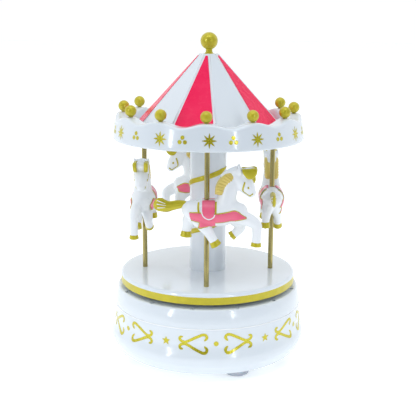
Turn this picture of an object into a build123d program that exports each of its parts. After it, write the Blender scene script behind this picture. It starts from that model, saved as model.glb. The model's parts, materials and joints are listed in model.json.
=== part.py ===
from build123d import *
import math
import os

# A carousel music box: a turned plastic base that holds a wind-up movement, and above
# it a revolving platform with four poles, four horses, a centre column and a canopy.
# Millimetres, +Z up, origin on the resting plane under the centre of the base.
# Azimuth 0 is the front (-Y) and grows towards +X.

# ---- heights above the table ----
FOOT_H = 4.5                 # the feet lift the base by this much
SEAM_LOW_Z = 9.8             # bottom cover meets the printed drum
SEAM_HIGH_Z = 28.6           # printed drum meets the top cover
DECK_Z = 38.2                # flat top of the base
DISC_LOW_Z = 40.3            # underside of the revolving platform
DISC_TOP_Z = 46.0            # platform floor
VALANCE_LOW_Z = 116.8        # lower edge of the canopy's valance
CEILING_Z = 119.0            # underside of the plate that closes the canopy
ROOF_LOW_Z = 121.0           # foot of the roof cone, on the ceiling plate
VALLEY_Z = 127.8             # top of the valance between two balls
CREST_Z = 130.0              # top of the valance under a ball
ROOF_TOP_Z = 160.3           # small flat at the tip of the cone
FINIAL_Z = 166.6             # centre of the ball on the tip

# ---- radii ----
FOOT_RING_R = 37.5
FOOT_R = 6.35
RIM_LOW_R = 49.0             # bottom cover at its lower edge
RIM_HIGH_R = 51.2            # bottom cover at the lower seam
BULGE_R = 52.0               # widest place of the drum
WAIST_R = 49.9               # drum above the bulge
SEAM_HIGH_R = 49.7           # drum at the upper seam
SHOULDER_R = 48.2            # top cover at the deck
DISC_R = 46.5
COLUMN_R = 9.65
POLE_R = 1.3
POLE_RING_R = 33.8
VALANCE_LOW_R = 50.0
VALANCE_TOP_R = 48.0
SHELF_R = 41.0               # inner edge of the valance's top shelf
CEILING_R = 47.2
ROOF_LOW_R = 41.4            # corner of the roof at its foot, if the foot were not trimmed
ROOF_FOOT_R = 40.8           # the roof's foot is trimmed to pass inside the shelf
ROOF_TOP_R = 4.8             # corner of the roof at its tip
BALL_R = 2.9
BALL_RING_R = 44.2
BALL_Z = CREST_Z + BALL_R + 0.1
FINIAL_R = 4.45

WALL = 2.0                   # plastic wall thickness
RUN_GAP = 0.05               # radial clearance of a running fit
POLE_COUNT = 4
POLE_TURN = -1.0             # azimuth of the front pole, degrees
BALL_COUNT = 12
BALL_TURN = -1.4
ROOF_SIDES = 10              # five coloured faces, five white ones
ROOF_TURN = 5.84             # azimuth of one edge of the roof
VENT_COUNT = 13
VENT_RING_R = 46.2
VENT_TURN = 18.8             # azimuth of one vent
FOOT_TURNS = (24.0, 144.0, 264.0)
SCREW_TURNS = (60.0, 180.0, 300.0)

# ---- joints between parts ----
KEY_WELL_R = 18.0
KEY_WELL_TOP = 14.0
ARBOR_R = 1.5                # winding arbor
SPINDLE_R = 3.0              # drive spindle
HUB_R = 6.2                  # hub under the platform, clear of the screw heads
SCREW_RING_R = 44.2          # cover screws
POST_PLACES = ((37.0, 14.0), (30.0, -17.0), (-11.0, 11.0))
POST_PILOT_R = 0.9
COLUMN_SCREW_X = (-8.2, 8.2)
COLUMN_WALL = 3.0
RIBBON_PITCH = 27.0
RIBBON_WIDTH = 2.8
RIBBON_T = 0.6
RIBBON_Z0 = 52.0
RIBBON_Z1 = 102.9
RIBBON_START = 114.0         # azimuth where the ribbon begins
BALL_JOINT = 1.03            # the balls between two pieces of a limb stand a little proud
STUD_R = 1.4                 # stud of the finial
STUD_DEEP = 6.0
ROOF_DROP = 2.4              # the hollow under the roof is the same cone, this much lower
PANEL_MARGIN = 1.25
PANEL_T = 0.3

# ---- the movement under the deck ----
PLATE_Z = 16.0               # underside of the bedplate
PLATE_T = 1.5
BARREL_Z = 18.3              # underside of the spring barrel
BARREL_R = 15.0
BARREL_TOP_Z = 24.3
CROWN_TEETH = 45
CROWN_MODULE = 0.6
PINION_TEETH = 9
CYLINDER_Z = 28.1            # height of the cylinder's axis
CYLINDER_R = 5.5
CYLINDER_X0 = 17.6
CYLINDER_X1 = 34.4
PIN_R = 0.22
NOTE_COUNT = 18
TRAIN_MODULE = 0.4
WHEEL_TEETH = 32             # on the cylinder
SMALL_PINION_TEETH = 10      # on the second arbor
WORM_WHEEL_TEETH = 16
WORM_R = 1.6                 # pitch radius of the worm
TRAIN_X = 36.6               # plane of the big wheel and its pinion
WORM_X = 38.9                # plane of the worm
TRAIN_Y = -TRAIN_MODULE * (WHEEL_TEETH + SMALL_PINION_TEETH) / 2
WORM_Y = TRAIN_Y - TRAIN_MODULE * WORM_WHEEL_TEETH / 2 - WORM_R
COMB_Z = CYLINDER_Z - 0.6
COMB_Y0 = CYLINDER_R + 1.05
COMB_Y1 = 16.5
COMB_SCREW_X = (20.5, 31.5)
CYLINDER_SHAFT_R = 0.9
CROWN_R = CROWN_MODULE * CROWN_TEETH / 2
PINION_R = CROWN_MODULE * PINION_TEETH / 2
PITCH_PLANE_Z = CYLINDER_Z - PINION_R
CHEEK_T = 0.8
ARBOR2_R = 0.6
INNER_CHEEK_X = CYLINDER_X0 - 1.2
OUTER_CHEEK_X = CYLINDER_X1 + 0.8
END_CHEEK_X = 41.4

os.makedirs("parts", exist_ok=True)


def around(azimuth, radius, z=0.0):
    """A point on a circle about the carousel's axis, azimuth 0 at the front."""
    turn = math.radians(azimuth)
    return (radius * math.sin(turn), -radius * math.cos(turn), z)


def turned(*edges):
    """Solid of revolution about Z from edges drawn as (radius, height)."""
    face = make_face(Plane.XZ * (Curve() + list(edges)))
    return revolve(face, Axis.Z, 360)


def turned_polygon(*points):
    """Solid of revolution about Z from the corners of its half section."""
    return turned(*Polyline(*points, close=True).edges())


def rod(start, end, radius):
    """Round bar between two points."""
    a, b = Vector(*start), Vector(*end)
    plane = Plane(origin=a, z_dir=(b - a))
    return plane * Cylinder(radius, (b - a).length, align=(Align.CENTER, Align.CENTER, Align.MIN))


def upright(x, y, z0, z1, radius):
    return rod((x, y, z0), (x, y, z1), radius)


def ring_of(shape, count, first=0.0):
    """Copies of a shape at equal turns about Z."""
    return [Rot(0, 0, first + 360.0 * k / count) * shape for k in range(count)]


def save(shape, node):
    export_step(shape, f"parts/{node}.step")


# ---- base: three turned shells, feet, screws ----

def bottom_cover():
    """Tapered rim and floor with the well that the winding key sits in."""
    cover = turned_polygon(
        (KEY_WELL_R, FOOT_H), (RIM_LOW_R - 1.2, FOOT_H), (RIM_LOW_R, FOOT_H + 1.0),
        (RIM_HIGH_R, SEAM_LOW_Z), (RIM_HIGH_R - WALL, SEAM_LOW_Z), (RIM_LOW_R - WALL, FOOT_H + WALL),
        (KEY_WELL_R + 1.6, FOOT_H + WALL), (KEY_WELL_R + 1.6, KEY_WELL_TOP + 1.6), (2.5, KEY_WELL_TOP + 1.6),
        (2.5, KEY_WELL_TOP), (KEY_WELL_R, KEY_WELL_TOP))
    well = upright(0, 0, FOOT_H, KEY_WELL_TOP, KEY_WELL_R)
    for x, y in POST_PLACES:
        cover += upright(x, y, FOOT_H + WALL, PLATE_Z, 2.6) - well
    for x, y in POST_PLACES:
        cover -= upright(x, y, PLATE_Z - 1.5, PLATE_Z, POST_PILOT_R)
    for turn in SCREW_TURNS:
        x, y, _ = around(turn, SCREW_RING_R)
        cover -= upright(x, y, FOOT_H, FOOT_H + 1.2, 2.4)
        cover -= upright(x, y, FOOT_H, FOOT_H + 3, 1.2)
    return cover


def base_drum():
    """Printed wall of the base, with a bulge above the lower seam."""
    foot_out = (RIM_HIGH_R + 0.2, SEAM_LOW_Z)
    foot_round = (RIM_HIGH_R + 0.3, SEAM_LOW_Z + 0.4)
    bulge_top = (BULGE_R - 0.9, SEAM_LOW_Z + 6.2)
    waist = (WAIST_R, SEAM_LOW_Z + 13.0)
    outer = [
        Line(foot_out, foot_round),
        ThreePointArc(foot_round, (BULGE_R, SEAM_LOW_Z + 3.4), bulge_top),
        ThreePointArc(bulge_top, (WAIST_R + 0.1, SEAM_LOW_Z + 9.5), waist),
        Line(waist, (SEAM_HIGH_R, SEAM_HIGH_Z)),
    ]
    inner = Polyline((SEAM_HIGH_R, SEAM_HIGH_Z), (WAIST_R - WALL, SEAM_HIGH_Z),
                     (WAIST_R - WALL, SEAM_LOW_Z + 7), (RIM_HIGH_R - WALL, SEAM_LOW_Z), foot_out)
    drum = turned(*outer, *inner.edges())
    for turn in SCREW_TURNS:
        x, y, _ = around(turn, SCREW_RING_R)
        boss = upright(x, y, FOOT_H + WALL, SEAM_HIGH_Z - 2, 2.8)
        web = Pos(*around(turn, SCREW_RING_R + 2, (SEAM_LOW_Z + SEAM_HIGH_Z) / 2)) * Rot(0, 0, turn)
        drum += boss
        drum += web * Box(1.6, 6.0, 14.0)
        drum -= upright(x, y, FOOT_H, SEAM_HIGH_Z - 4, 1.2)
    return drum


def top_cover():
    """Rounded shoulder and deck, with sound holes round its edge."""
    foot_out = (SEAM_HIGH_R - 0.35, SEAM_HIGH_Z)
    foot_round = (SEAM_HIGH_R - 0.05, SEAM_HIGH_Z + 0.4)
    edge = (SHOULDER_R, DECK_Z - 0.9)
    deck_edge = (SHOULDER_R - 1.4, DECK_Z)
    shoulder = [
        Line(foot_out, foot_round),
        ThreePointArc(foot_round, (SEAM_HIGH_R - 0.35, SEAM_HIGH_Z + 5.2), edge),
        ThreePointArc(edge, (SHOULDER_R - 0.5, DECK_Z - 0.2), deck_edge),
    ]
    inner = Polyline(deck_edge, (5.0, DECK_Z), (5.0, DECK_Z - 1.8), (SHOULDER_R - 2.2, DECK_Z - 1.8),
                     (SEAM_HIGH_R - WALL - 0.35, SEAM_HIGH_Z), foot_out)
    cover = turned(*shoulder, *inner.edges())
    hole = Pos(*around(VENT_TURN, VENT_RING_R, DECK_Z)) * Cylinder(1.2, 6.0)
    for copy in ring_of(hole, VENT_COUNT):
        cover -= copy
    return cover


def foot():
    """Low round pad with a softened lower edge."""
    pad, side = (FOOT_R - 1.0, 0), (FOOT_R, 1.0)
    rest = Polyline(side, (FOOT_R, FOOT_H), (0, FOOT_H), (0, 0), pad)
    return turned(ThreePointArc(pad, (FOOT_R - 0.3, 0.3), side), *rest.edges())


def pan_screw(length, thread_r, head_r, head_h):
    """Screw pointing up, the underside of its head at the origin, with a cross slot."""
    screw = upright(0, 0, 0, length, thread_r) + upright(0, 0, -head_h, 0, head_r)
    slot = Box(head_r * 1.3, 0.4, head_h) + Box(0.4, head_r * 1.3, head_h)
    return screw - Pos(0, 0, -head_h) * slot


def cover_screws():
    return Compound([Pos(*around(turn, SCREW_RING_R, FOOT_H + 1.2)) * pan_screw(17.0, 1.2, 2.2, 1.1)
                     for turn in SCREW_TURNS])


def spindle_bush():
    """Flanged brass bush in the deck that the drive spindle turns in."""
    bore = SPINDLE_R + RUN_GAP
    return turned_polygon((bore, DECK_Z - 2.6), (5.0, DECK_Z - 2.6), (5.0, DECK_Z), (6.4, DECK_Z),
                          (6.4, DECK_Z + 0.9), (bore, DECK_Z + 0.9))


# ---- gears ----

def unrolled(ratio):
    """Polar angle of an involute at a radius, as a ratio to the base circle (radians)."""
    tangent = math.sqrt(max(ratio ** 2 - 1, 0))
    return tangent - math.atan(tangent)


def involute_tooth(teeth, module, width_share, add, ded, pressure=20.0):
    """Section of one spur tooth about +X: radial flank below the base circle, involute above."""
    pitch_r = module * teeth / 2
    base_r = pitch_r * math.cos(math.radians(pressure))
    tip_r = pitch_r + add * module
    root_r = pitch_r - ded * module
    half = math.pi * width_share / teeth
    flank = []
    for step in range(5):
        r = max(base_r, root_r) + (tip_r - max(base_r, root_r)) * step / 4
        flank.append((r, half + unrolled(pitch_r / base_r) - unrolled(r / base_r)))
    flank = [(root_r - 0.1, flank[0][1])] + flank
    upper = [(r * math.cos(a), r * math.sin(a)) for r, a in flank]
    lower = [(x, -y) for x, y in reversed(upper)]
    return make_face(Polyline(*upper, *lower, close=True))


def spur_gear(teeth, module, thickness, bore, width_share=0.42, add=0.8, ded=1.15):
    """Spur gear about Z, its lower face at the origin, a tooth on +X."""
    root_r = module * teeth / 2 - ded * module
    section = Circle(root_r)
    tooth = involute_tooth(teeth, module, width_share, add, ded)
    for k in range(teeth):
        section += Rot(0, 0, 360.0 * k / teeth) * tooth
    if bore:
        section -= Circle(bore)
    return extrude(section, thickness)


def along_x(shape, x, y, z, turn=0.0):
    """Lay a shape made about Z along +X, its origin at the given point."""
    return Pos(x, y, z) * Rot(0, 90, 0) * Rot(0, 0, turn) * shape


def crown_ring():
    """Face-gear teeth standing on the barrel's lid, tapered towards their tips."""
    pitch = math.pi * CROWN_MODULE
    low, high = BARREL_TOP_Z - 0.1, PITCH_PLANE_Z + 0.75 * CROWN_MODULE
    flank = math.tan(math.radians(20.0))
    half = 0.36 * pitch / 2
    top = half - (high - PITCH_PLANE_Z) * flank
    foot_half = half + (PITCH_PLANE_Z - low) * flank
    section = Polyline((-foot_half, low), (foot_half, low), (top, high), (-top, high), close=True)
    tooth = Pos(CROWN_R - 1.0, 0, 0) * extrude(Plane.YZ * make_face(section), 2.0)
    return ring_of(tooth, CROWN_TEETH, 180.0 / CROWN_TEETH)


def spring_barrel():
    """Round can that holds the mainspring, with crown teeth on its lid and the spindle's socket."""
    sheet = 0.8
    can = turned_polygon((ARBOR_R + 0.3, BARREL_Z), (BARREL_R, BARREL_Z), (BARREL_R, BARREL_TOP_Z),
                         (SPINDLE_R, BARREL_TOP_Z), (SPINDLE_R, BARREL_TOP_Z - sheet),
                         (BARREL_R - sheet, BARREL_TOP_Z - sheet), (BARREL_R - sheet, BARREL_Z + sheet),
                         (ARBOR_R + 0.3, BARREL_Z + sheet))
    for tooth in crown_ring():
        can += tooth
    return can


def mainspring():
    """Flat strip wound in five turns inside the barrel."""
    turns, inner, outer, strip = 5, 4.6, BARREL_R - 1.6, 0.35
    steps = turns * 12
    line = [(inner + (outer - inner) * k / steps, 30.0 * k) for k in range(steps + 1)]
    spiral = Spline(*[(r * math.cos(math.radians(a)), r * math.sin(math.radians(a))) for r, a in line])
    wide = trace(spiral, strip)
    return Pos(0, 0, BARREL_Z + 1.1) * extrude(wide, BARREL_TOP_Z - BARREL_Z - 2.2)


def drive_spindle():
    """Turned shaft from the barrel's lid through the deck into the platform's hub."""
    return upright(0, 0, BARREL_TOP_Z - 0.8, DISC_TOP_Z - 2.0, SPINDLE_R)


# ---- wind-up movement ----

def bedplate():
    """Die-cast plate that carries the whole movement."""
    x0, x1, half_y, cut = -17.5, 42.0, 21.0, 8.0
    corners = [(x0 + cut, -half_y), (x1 - cut, -half_y), (x1, cut - half_y), (x1, half_y - cut)]
    corners += [(x1 - cut, half_y), (x0 + cut, half_y), (x0, half_y - cut), (x0, cut - half_y)]
    outline = make_face(Polyline(*corners, close=True))
    plate = Pos(0, 0, PLATE_Z) * extrude(outline, PLATE_T)
    plate -= upright(0, 0, PLATE_Z - 1, PLATE_Z + 3, ARBOR_R + RUN_GAP)
    for x, y in POST_PLACES:
        plate -= upright(x, y, PLATE_Z - 1, PLATE_Z + 3, POST_PILOT_R)
    return plate


def plate_screws():
    return Compound([Pos(x, y, PLATE_Z + PLATE_T) * Rot(180, 0, 0) * pan_screw(2.6, POST_PILOT_R, 1.8, 0.7)
                     for x, y in POST_PLACES])


def comb():
    """Steel plate whose front is cut into eighteen sounding teeth, longer at the low notes."""
    x0, x1 = CYLINDER_X0 + 0.4, CYLINDER_X1 - 0.4
    plate = Pos((x0 + x1) / 2, (COMB_Y0 + COMB_Y1) / 2, COMB_Z) * Box(x1 - x0, COMB_Y1 - COMB_Y0, 1.0)
    pitch = (x1 - x0) / NOTE_COUNT
    for k in range(1, NOTE_COUNT):
        reach = COMB_Y0 + 6.0 - 3.0 * k / NOTE_COUNT
        slit = Box(0.25, 2 * (reach - COMB_Y0), 2.0)
        plate -= Pos(x0 + pitch * k, COMB_Y0, COMB_Z) * slit
    for x in COMB_SCREW_X:
        plate -= upright(x, COMB_Y1 - 2.4, COMB_Z - 1, COMB_Z + 1, 0.9)
    return plate


def comb_stand():
    """Block between the bedplate and the comb."""
    top = COMB_Z - 0.5
    x0, x1 = CYLINDER_X0 + 0.4, CYLINDER_X1 - 0.4
    base = PLATE_Z + PLATE_T
    block = Pos((x0 + x1) / 2, COMB_Y1 - 2.4, (base + top) / 2) * Box(x1 - x0, 4.4, top - base)
    for x in COMB_SCREW_X:
        block -= upright(x, COMB_Y1 - 2.4, top - 3.0, top + 1, 0.9)
    return block


def comb_screws():
    return Compound([Pos(x, COMB_Y1 - 2.4, COMB_Z + 0.5) * Rot(180, 0, 0) * pan_screw(4.0, 0.9, 1.7, 0.8)
                     for x in COMB_SCREW_X])


def music_cylinder():
    """Brass drum with tune pins, its shaft, the crown pinion and the big train wheel."""
    drum = rod((CYLINDER_X0, 0, CYLINDER_Z), (CYLINDER_X1, 0, CYLINDER_Z), CYLINDER_R)
    shaft = rod((CROWN_R - 2.2, 0, CYLINDER_Z), (TRAIN_X + 0.7, 0, CYLINDER_Z), CYLINDER_SHAFT_R)
    pitch = (CYLINDER_X1 - CYLINDER_X0 - 0.8) / NOTE_COUNT
    body = drum + shaft
    pins = []
    for k in range(NOTE_COUNT):
        x = CYLINDER_X0 + 0.4 + pitch * (k + 0.5)
        for j in range(3):
            turn = (k * 137.5 + j * 120.0) % 360.0
            pin = Rot(turn, 0, 0) * rod((x, 0, CYLINDER_R - 0.3), (x, 0, CYLINDER_R + 0.75), PIN_R)
            pins.append(Pos(0, 0, CYLINDER_Z) * pin)
    body = body.fuse(*pins)
    pinion = spur_gear(PINION_TEETH, CROWN_MODULE, 2.6, 0, width_share=0.36, add=0.75)
    wheel = spur_gear(WHEEL_TEETH, TRAIN_MODULE, 0.8, 0, width_share=0.38, add=0.7)
    body += along_x(pinion, CROWN_R - 1.3, 0, CYLINDER_Z)
    body += along_x(wheel, TRAIN_X - 0.4, 0, CYLINDER_Z)
    return body


def bearing_cheek(x, *holes):
    """Upright plate across the bedplate, bored for each shaft given as (y, radius)."""
    base = PLATE_Z + PLATE_T
    height = CYLINDER_Z + 2.0 - base
    ends = [y for y, _ in holes]
    width = max(ends) - min(ends) + 4.4
    cheek = Pos(x, (max(ends) + min(ends)) / 2, base + height / 2) * Box(CHEEK_T, width, height)
    for y, radius in holes:
        cheek -= rod((x - 1, y, CYLINDER_Z), (x + 1, y, CYLINDER_Z), radius + RUN_GAP)
    return cheek


def second_arbor():
    """Steel arbor with the small pinion and the worm wheel."""
    start = (OUTER_CHEEK_X - 0.4, TRAIN_Y, CYLINDER_Z)
    arbor = rod(start, (END_CHEEK_X + 0.4, TRAIN_Y, CYLINDER_Z), ARBOR2_R)
    pinion = spur_gear(SMALL_PINION_TEETH, TRAIN_MODULE, 1.0, 0, width_share=0.36, add=0.7)
    wheel = spur_gear(WORM_WHEEL_TEETH, TRAIN_MODULE, 0.7, 0, width_share=0.34, add=0.7)
    arbor += along_x(pinion, TRAIN_X - 0.5, TRAIN_Y, CYLINDER_Z)
    arbor += along_x(wheel, WORM_X - 0.35, TRAIN_Y, CYLINDER_Z)
    return arbor


def governor_worm():
    """Endless screw with a two-bladed air brake on its top."""
    lead = math.pi * TRAIN_MODULE
    z0, z1 = CYLINDER_Z - 2.2, CYLINDER_Z + 2.2
    core_r = WORM_R - 0.8 * TRAIN_MODULE
    crest_r = WORM_R + 0.7 * TRAIN_MODULE
    root_half, crest_half = 0.26, 0.10
    helix = Helix(lead, z1 - z0, core_r - 0.05, center=(0, 0, z0))
    section = make_face(Polyline((0, -root_half), (crest_r - core_r + 0.05, -crest_half),
                                 (crest_r - core_r + 0.05, crest_half), (0, root_half), close=True))
    start = helix @ 0
    frame = Plane(origin=start, x_dir=(start.X, start.Y, 0), z_dir=helix % 0)
    thread = sweep(frame * section, path=helix, is_frenet=True)
    shaft = upright(0, 0, PLATE_Z + PLATE_T + 0.4, DECK_Z - 2.6, 0.5)
    worm = upright(0, 0, z0 - 0.5, z1 + 0.5, core_r) + shaft
    worm += thread
    blade = Pos(0, 0, DECK_Z - 4.0) * Box(7.6, 0.5, 2.2)
    worm += blade
    return Pos(WORM_X, WORM_Y, 0) * worm


def governor_frame():
    """Bracket with both bearings of the worm and the end bearing of the second arbor."""
    base = PLATE_Z + PLATE_T
    bore_r = 0.5 + RUN_GAP
    x1 = END_CHEEK_X + CHEEK_T / 2
    frame = bearing_cheek(END_CHEEK_X, (TRAIN_Y, ARBOR2_R), (WORM_Y, ARBOR2_R))
    frame += Pos((x1 + WORM_X - 1.6) / 2, WORM_Y, base + 0.9) * Box(x1 - WORM_X + 1.6, 3.6, 1.8)
    arm_z = CYLINDER_Z + 2.0
    frame += Pos(END_CHEEK_X, WORM_Y, arm_z + 1.0) * Box(CHEEK_T, 2.4, 2.0 + 1.2)
    frame += Pos((x1 + WORM_X - 1.2) / 2, WORM_Y, arm_z + 2.1) * Box(x1 - WORM_X + 1.2, 2.4, 1.0)
    frame -= upright(WORM_X, WORM_Y, base + 0.3, base + 3, bore_r)
    frame -= upright(WORM_X, WORM_Y, arm_z + 1, arm_z + 3, bore_r)
    return frame


def winding_arbor():
    """Shaft that the key screws on; it passes the bedplate into the barrel."""
    collar = upright(0, 0, PLATE_Z + PLATE_T + 0.1, BARREL_Z - 0.1, 2.6)
    return upright(0, 0, FOOT_H + 3.2, BARREL_Z + 4.0, ARBOR_R) + collar


def winding_key():
    """Flat wing key on the arbor, inside the well."""
    hub = upright(0, 0, FOOT_H + 1.2, FOOT_H + 7.0, 3.2) - upright(0, 0, FOOT_H + 3.2, FOOT_H + 8, ARBOR_R)
    wing = Box(26.0, 1.8, 6.0)
    wing = fillet(wing.edges().filter_by(Axis.Y), 2.4)
    wing = Pos(0, 0, FOOT_H + 3.9) * wing
    wing -= Pos(8.4, 0, FOOT_H + 3.9) * Rot(90, 0, 0) * Cylinder(1.6, 4)
    wing -= Pos(-8.4, 0, FOOT_H + 3.9) * Rot(90, 0, 0) * Cylinder(1.6, 4)
    wing -= upright(0, 0, FOOT_H + 3.2, FOOT_H + 8, ARBOR_R)
    return hub + wing


# ---- revolving platform, column, poles ----

def platform_disc():
    """Floor of the carousel: thin disc with a skirt, a hub for the spindle and four pole sockets."""
    lip, floor_edge = (DISC_R, DISC_TOP_Z - 1.8), (DISC_R - 1.8, DISC_TOP_Z)
    rounded = ThreePointArc(lip, (DISC_R - 0.53, DISC_TOP_Z - 0.53), floor_edge)
    rest = Polyline(floor_edge, (0, DISC_TOP_Z), (0, DISC_TOP_Z - WALL), (SPINDLE_R, DISC_TOP_Z - WALL),
                    (SPINDLE_R, DISC_LOW_Z - 0.8), (HUB_R, DISC_LOW_Z - 0.8), (HUB_R, DISC_TOP_Z - WALL),
                    (DISC_R - 3.0, DISC_TOP_Z - WALL), (DISC_R - 3.0, DISC_LOW_Z), (DISC_R - 1.2, DISC_LOW_Z),
                    (DISC_R - 1.2, DISC_TOP_Z - 1.8), lip)
    disc = turned(rounded, *rest.edges())
    for k in range(POLE_COUNT):
        x, y, _ = around(POLE_TURN + 90.0 * k, POLE_RING_R)
        disc += upright(x, y, DISC_LOW_Z + 0.4, DISC_TOP_Z - 1, POLE_R + 1.4)
        disc -= upright(x, y, DISC_LOW_Z + 1.2, DISC_TOP_Z + 1, POLE_R)
    for x in COLUMN_SCREW_X:
        disc -= upright(x, 0, DISC_LOW_Z - 2, DISC_TOP_Z + 1, 1.0)
    return disc


def platform_rim():
    """Gold band pressed round the platform's skirt."""
    return turned_polygon((DISC_R - 1.2, DISC_LOW_Z), (DISC_R - 0.2, DISC_LOW_Z), (DISC_R, DISC_LOW_Z + 0.2),
                          (DISC_R, DISC_TOP_Z - 1.8), (DISC_R - 1.2, DISC_TOP_Z - 1.8))


def column_screws():
    """Two screws from below the platform and two from above the ceiling, into the column's wall."""
    screw = pan_screw(7.0, 1.0, 1.8, 1.0)
    low = [Pos(x, 0, DISC_TOP_Z - WALL) * screw for x in COLUMN_SCREW_X]
    high = [Pos(x, 0, CEILING_Z + WALL) * Rot(180, 0, 0) * screw for x in COLUMN_SCREW_X]
    return low, high


def centre_column():
    """Tube between platform and ceiling."""
    tube = turned_polygon((COLUMN_R - COLUMN_WALL, DISC_TOP_Z), (COLUMN_R, DISC_TOP_Z), (COLUMN_R, CEILING_Z),
                          (COLUMN_R - COLUMN_WALL, CEILING_Z))
    for x in COLUMN_SCREW_X:
        tube -= upright(x, 0, DISC_TOP_Z - 1, DISC_TOP_Z + 5.0, 1.0)
        tube -= upright(x, 0, CEILING_Z - 5.0, CEILING_Z + 1, 1.0)
    return tube


def column_ribbon():
    """Raised gold band that climbs round the column, counter-clockwise from above."""
    helix = Helix(RIBBON_PITCH, RIBBON_Z1 - RIBBON_Z0, COLUMN_R, center=(0, 0, RIBBON_Z0))
    flat = Plane(origin=helix @ 0, x_dir=(1, 0, 0), z_dir=helix % 0)
    section = flat * Pos(RIBBON_T / 2, 0, 0) * Rectangle(RIBBON_T + 0.4, RIBBON_WIDTH)
    strip = sweep(section, path=helix, is_frenet=True)
    strip -= upright(0, 0, DISC_TOP_Z, CEILING_Z, COLUMN_R)
    return Rot(0, 0, RIBBON_START - 90.0) * strip


def pole(k):
    x, y, _ = around(POLE_TURN + 90.0 * k, POLE_RING_R)
    return upright(x, y, DISC_LOW_Z + 1.2, CEILING_Z + WALL, POLE_R)


# ---- horses ----

def limb(*stations):
    """Chain of tapered round pieces through (x, y, z, radius) stations."""
    x, y, z, radius = stations[0]
    shape = Pos(x, y, z) * Sphere(radius * BALL_JOINT)
    for (xa, ya, za, ra), (xb, yb, zb, rb) in zip(stations, stations[1:]):
        a, b = Vector(xa, ya, za), Vector(xb, yb, zb)
        plane = Plane(origin=a, z_dir=(b - a))
        shape += plane * Cone(ra, rb, (b - a).length, align=(Align.CENTER, Align.CENTER, Align.MIN))
        shape += Pos(b) * Sphere(rb * BALL_JOINT)
    return shape


def horse():
    """Prancing horse facing +X, the pole through its back, heights above the platform floor."""
    shape = limb((-4.4, 0, 39.0, 6.2), (4.5, 0, 38.0, 5.9), (13.2, 0, 38.6, 6.1))
    shape += limb((12.5, 0, 41.5, 5.6), (14.6, 0, 49.0, 4.4), (17.0, 0, 55.6, 3.9))
    shape += limb((17.0, 0, 55.2, 4.0), (19.6, 0, 52.0, 3.6), (22.0, 0, 49.0, 2.3))
    shape += limb((15.6, 2.2, 58.0, 1.3), (15.5, 2.5, 61.5, 0.6))
    shape += limb((15.6, -2.2, 58.0, 1.3), (15.5, -2.5, 61.5, 0.6))
    shape += limb((17.0, -3.4, 36.5, 3.2), (26.0, -3.6, 33.6, 2.1), (24.6, -3.6, 28.0, 1.7),
                  (24.4, -3.6, 23.4, 1.9))
    shape += limb((15.0, 3.4, 35.0, 3.2), (15.2, 3.6, 30.2, 2.1), (12.6, 3.6, 26.6, 1.8))
    shape += limb((-3.0, -3.2, 36.0, 3.8), (-0.4, -3.6, 30.4, 2.4), (4.4, -3.6, 23.4, 1.9))
    shape += limb((-5.0, 3.2, 36.0, 3.8), (-8.6, 3.6, 31.4, 2.2), (-9.6, 3.6, 26.8, 1.9))
    shape += limb((-8.6, 0, 42.4, 2.0), (-16.0, 0, 42.2, 1.9), (-23.4, 0, 43.2, 2.4))
    shape -= upright(0, 0, 20.0, 60.0, POLE_R)
    return shape


def horse_at(k, body):
    azimuth = POLE_TURN + 90.0 * k
    return Pos(*around(azimuth, POLE_RING_R, DISC_TOP_Z)) * Rot(0, 0, azimuth) * body


# ---- canopy ----

def ceiling_plate():
    """Plate that closes the canopy from below and holds the tops of poles and column."""
    plate = Pos(0, 0, CEILING_Z + WALL / 2) * Cylinder(CEILING_R, WALL)
    for k in range(POLE_COUNT):
        x, y, _ = around(POLE_TURN + 90.0 * k, POLE_RING_R)
        plate -= upright(x, y, CEILING_Z - 1, CEILING_Z + WALL + 1, POLE_R)
    for x in COLUMN_SCREW_X:
        plate -= upright(x, 0, CEILING_Z - 1, CEILING_Z + WALL + 1, 1.0)
    return plate


def valance():
    """Flared ring with a thick top shelf that rises into a crest under every ball."""
    def section(top):
        lip = (VALANCE_TOP_R + 0.3, top - 1.6)
        shelf_out = (VALANCE_TOP_R - 1.4, top)
        low_edge = (VALANCE_LOW_R, VALANCE_LOW_Z)
        shelf_foot = SHELF_R + 1.6
        rest = Polyline(shelf_out, (SHELF_R + 0.6, top), (SHELF_R, top - 0.6), (SHELF_R, ROOF_LOW_Z),
                        (shelf_foot, ROOF_LOW_Z), (shelf_foot, VALLEY_Z - WALL),
                        (VALANCE_TOP_R - 1.6, VALLEY_Z - WALL), (VALANCE_LOW_R - WALL, VALANCE_LOW_Z),
                        low_edge, lip)
        return turned(ThreePointArc(lip, (VALANCE_TOP_R - 0.2, top - 0.45), shelf_out), *rest.edges())

    ring = section(VALLEY_Z)
    rise = CREST_Z - VALLEY_Z
    half_chord = math.pi * BALL_RING_R / BALL_COUNT
    hump_r = (half_chord ** 2 + rise ** 2) / (2 * rise)
    tall = section(CREST_Z)
    hump = Pos(0, -BALL_RING_R, CREST_Z - hump_r) * Rot(90, 0, 0) * Cylinder(hump_r, 14.0)
    low_cut = Pos(0, 0, VALLEY_Z - 5.5) * Box(120, 120, 10)
    cap = tall - low_cut
    for crest in ring_of(hump & wedge(), BALL_COUNT, BALL_TURN):
        ring += cap & crest
    return ring


def wedge():
    """Thirty degree slice of space about the front, for one crest."""
    half = math.radians(180.0 / BALL_COUNT)
    far = 60.0
    face = make_face(Polyline((0, 0), (far * math.sin(half), -far * math.cos(half)),
                              (-far * math.sin(half), -far * math.cos(half)), close=True))
    return Pos(0, 0, VALLEY_Z - 6) * extrude(face, 12.0)


def roof_ring(radius):
    """Outline of the roof at one height, by the radius of its corners."""
    return Rot(0, 0, ROOF_TURN - 90.0) * RegularPolygon(radius, ROOF_SIDES)


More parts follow.
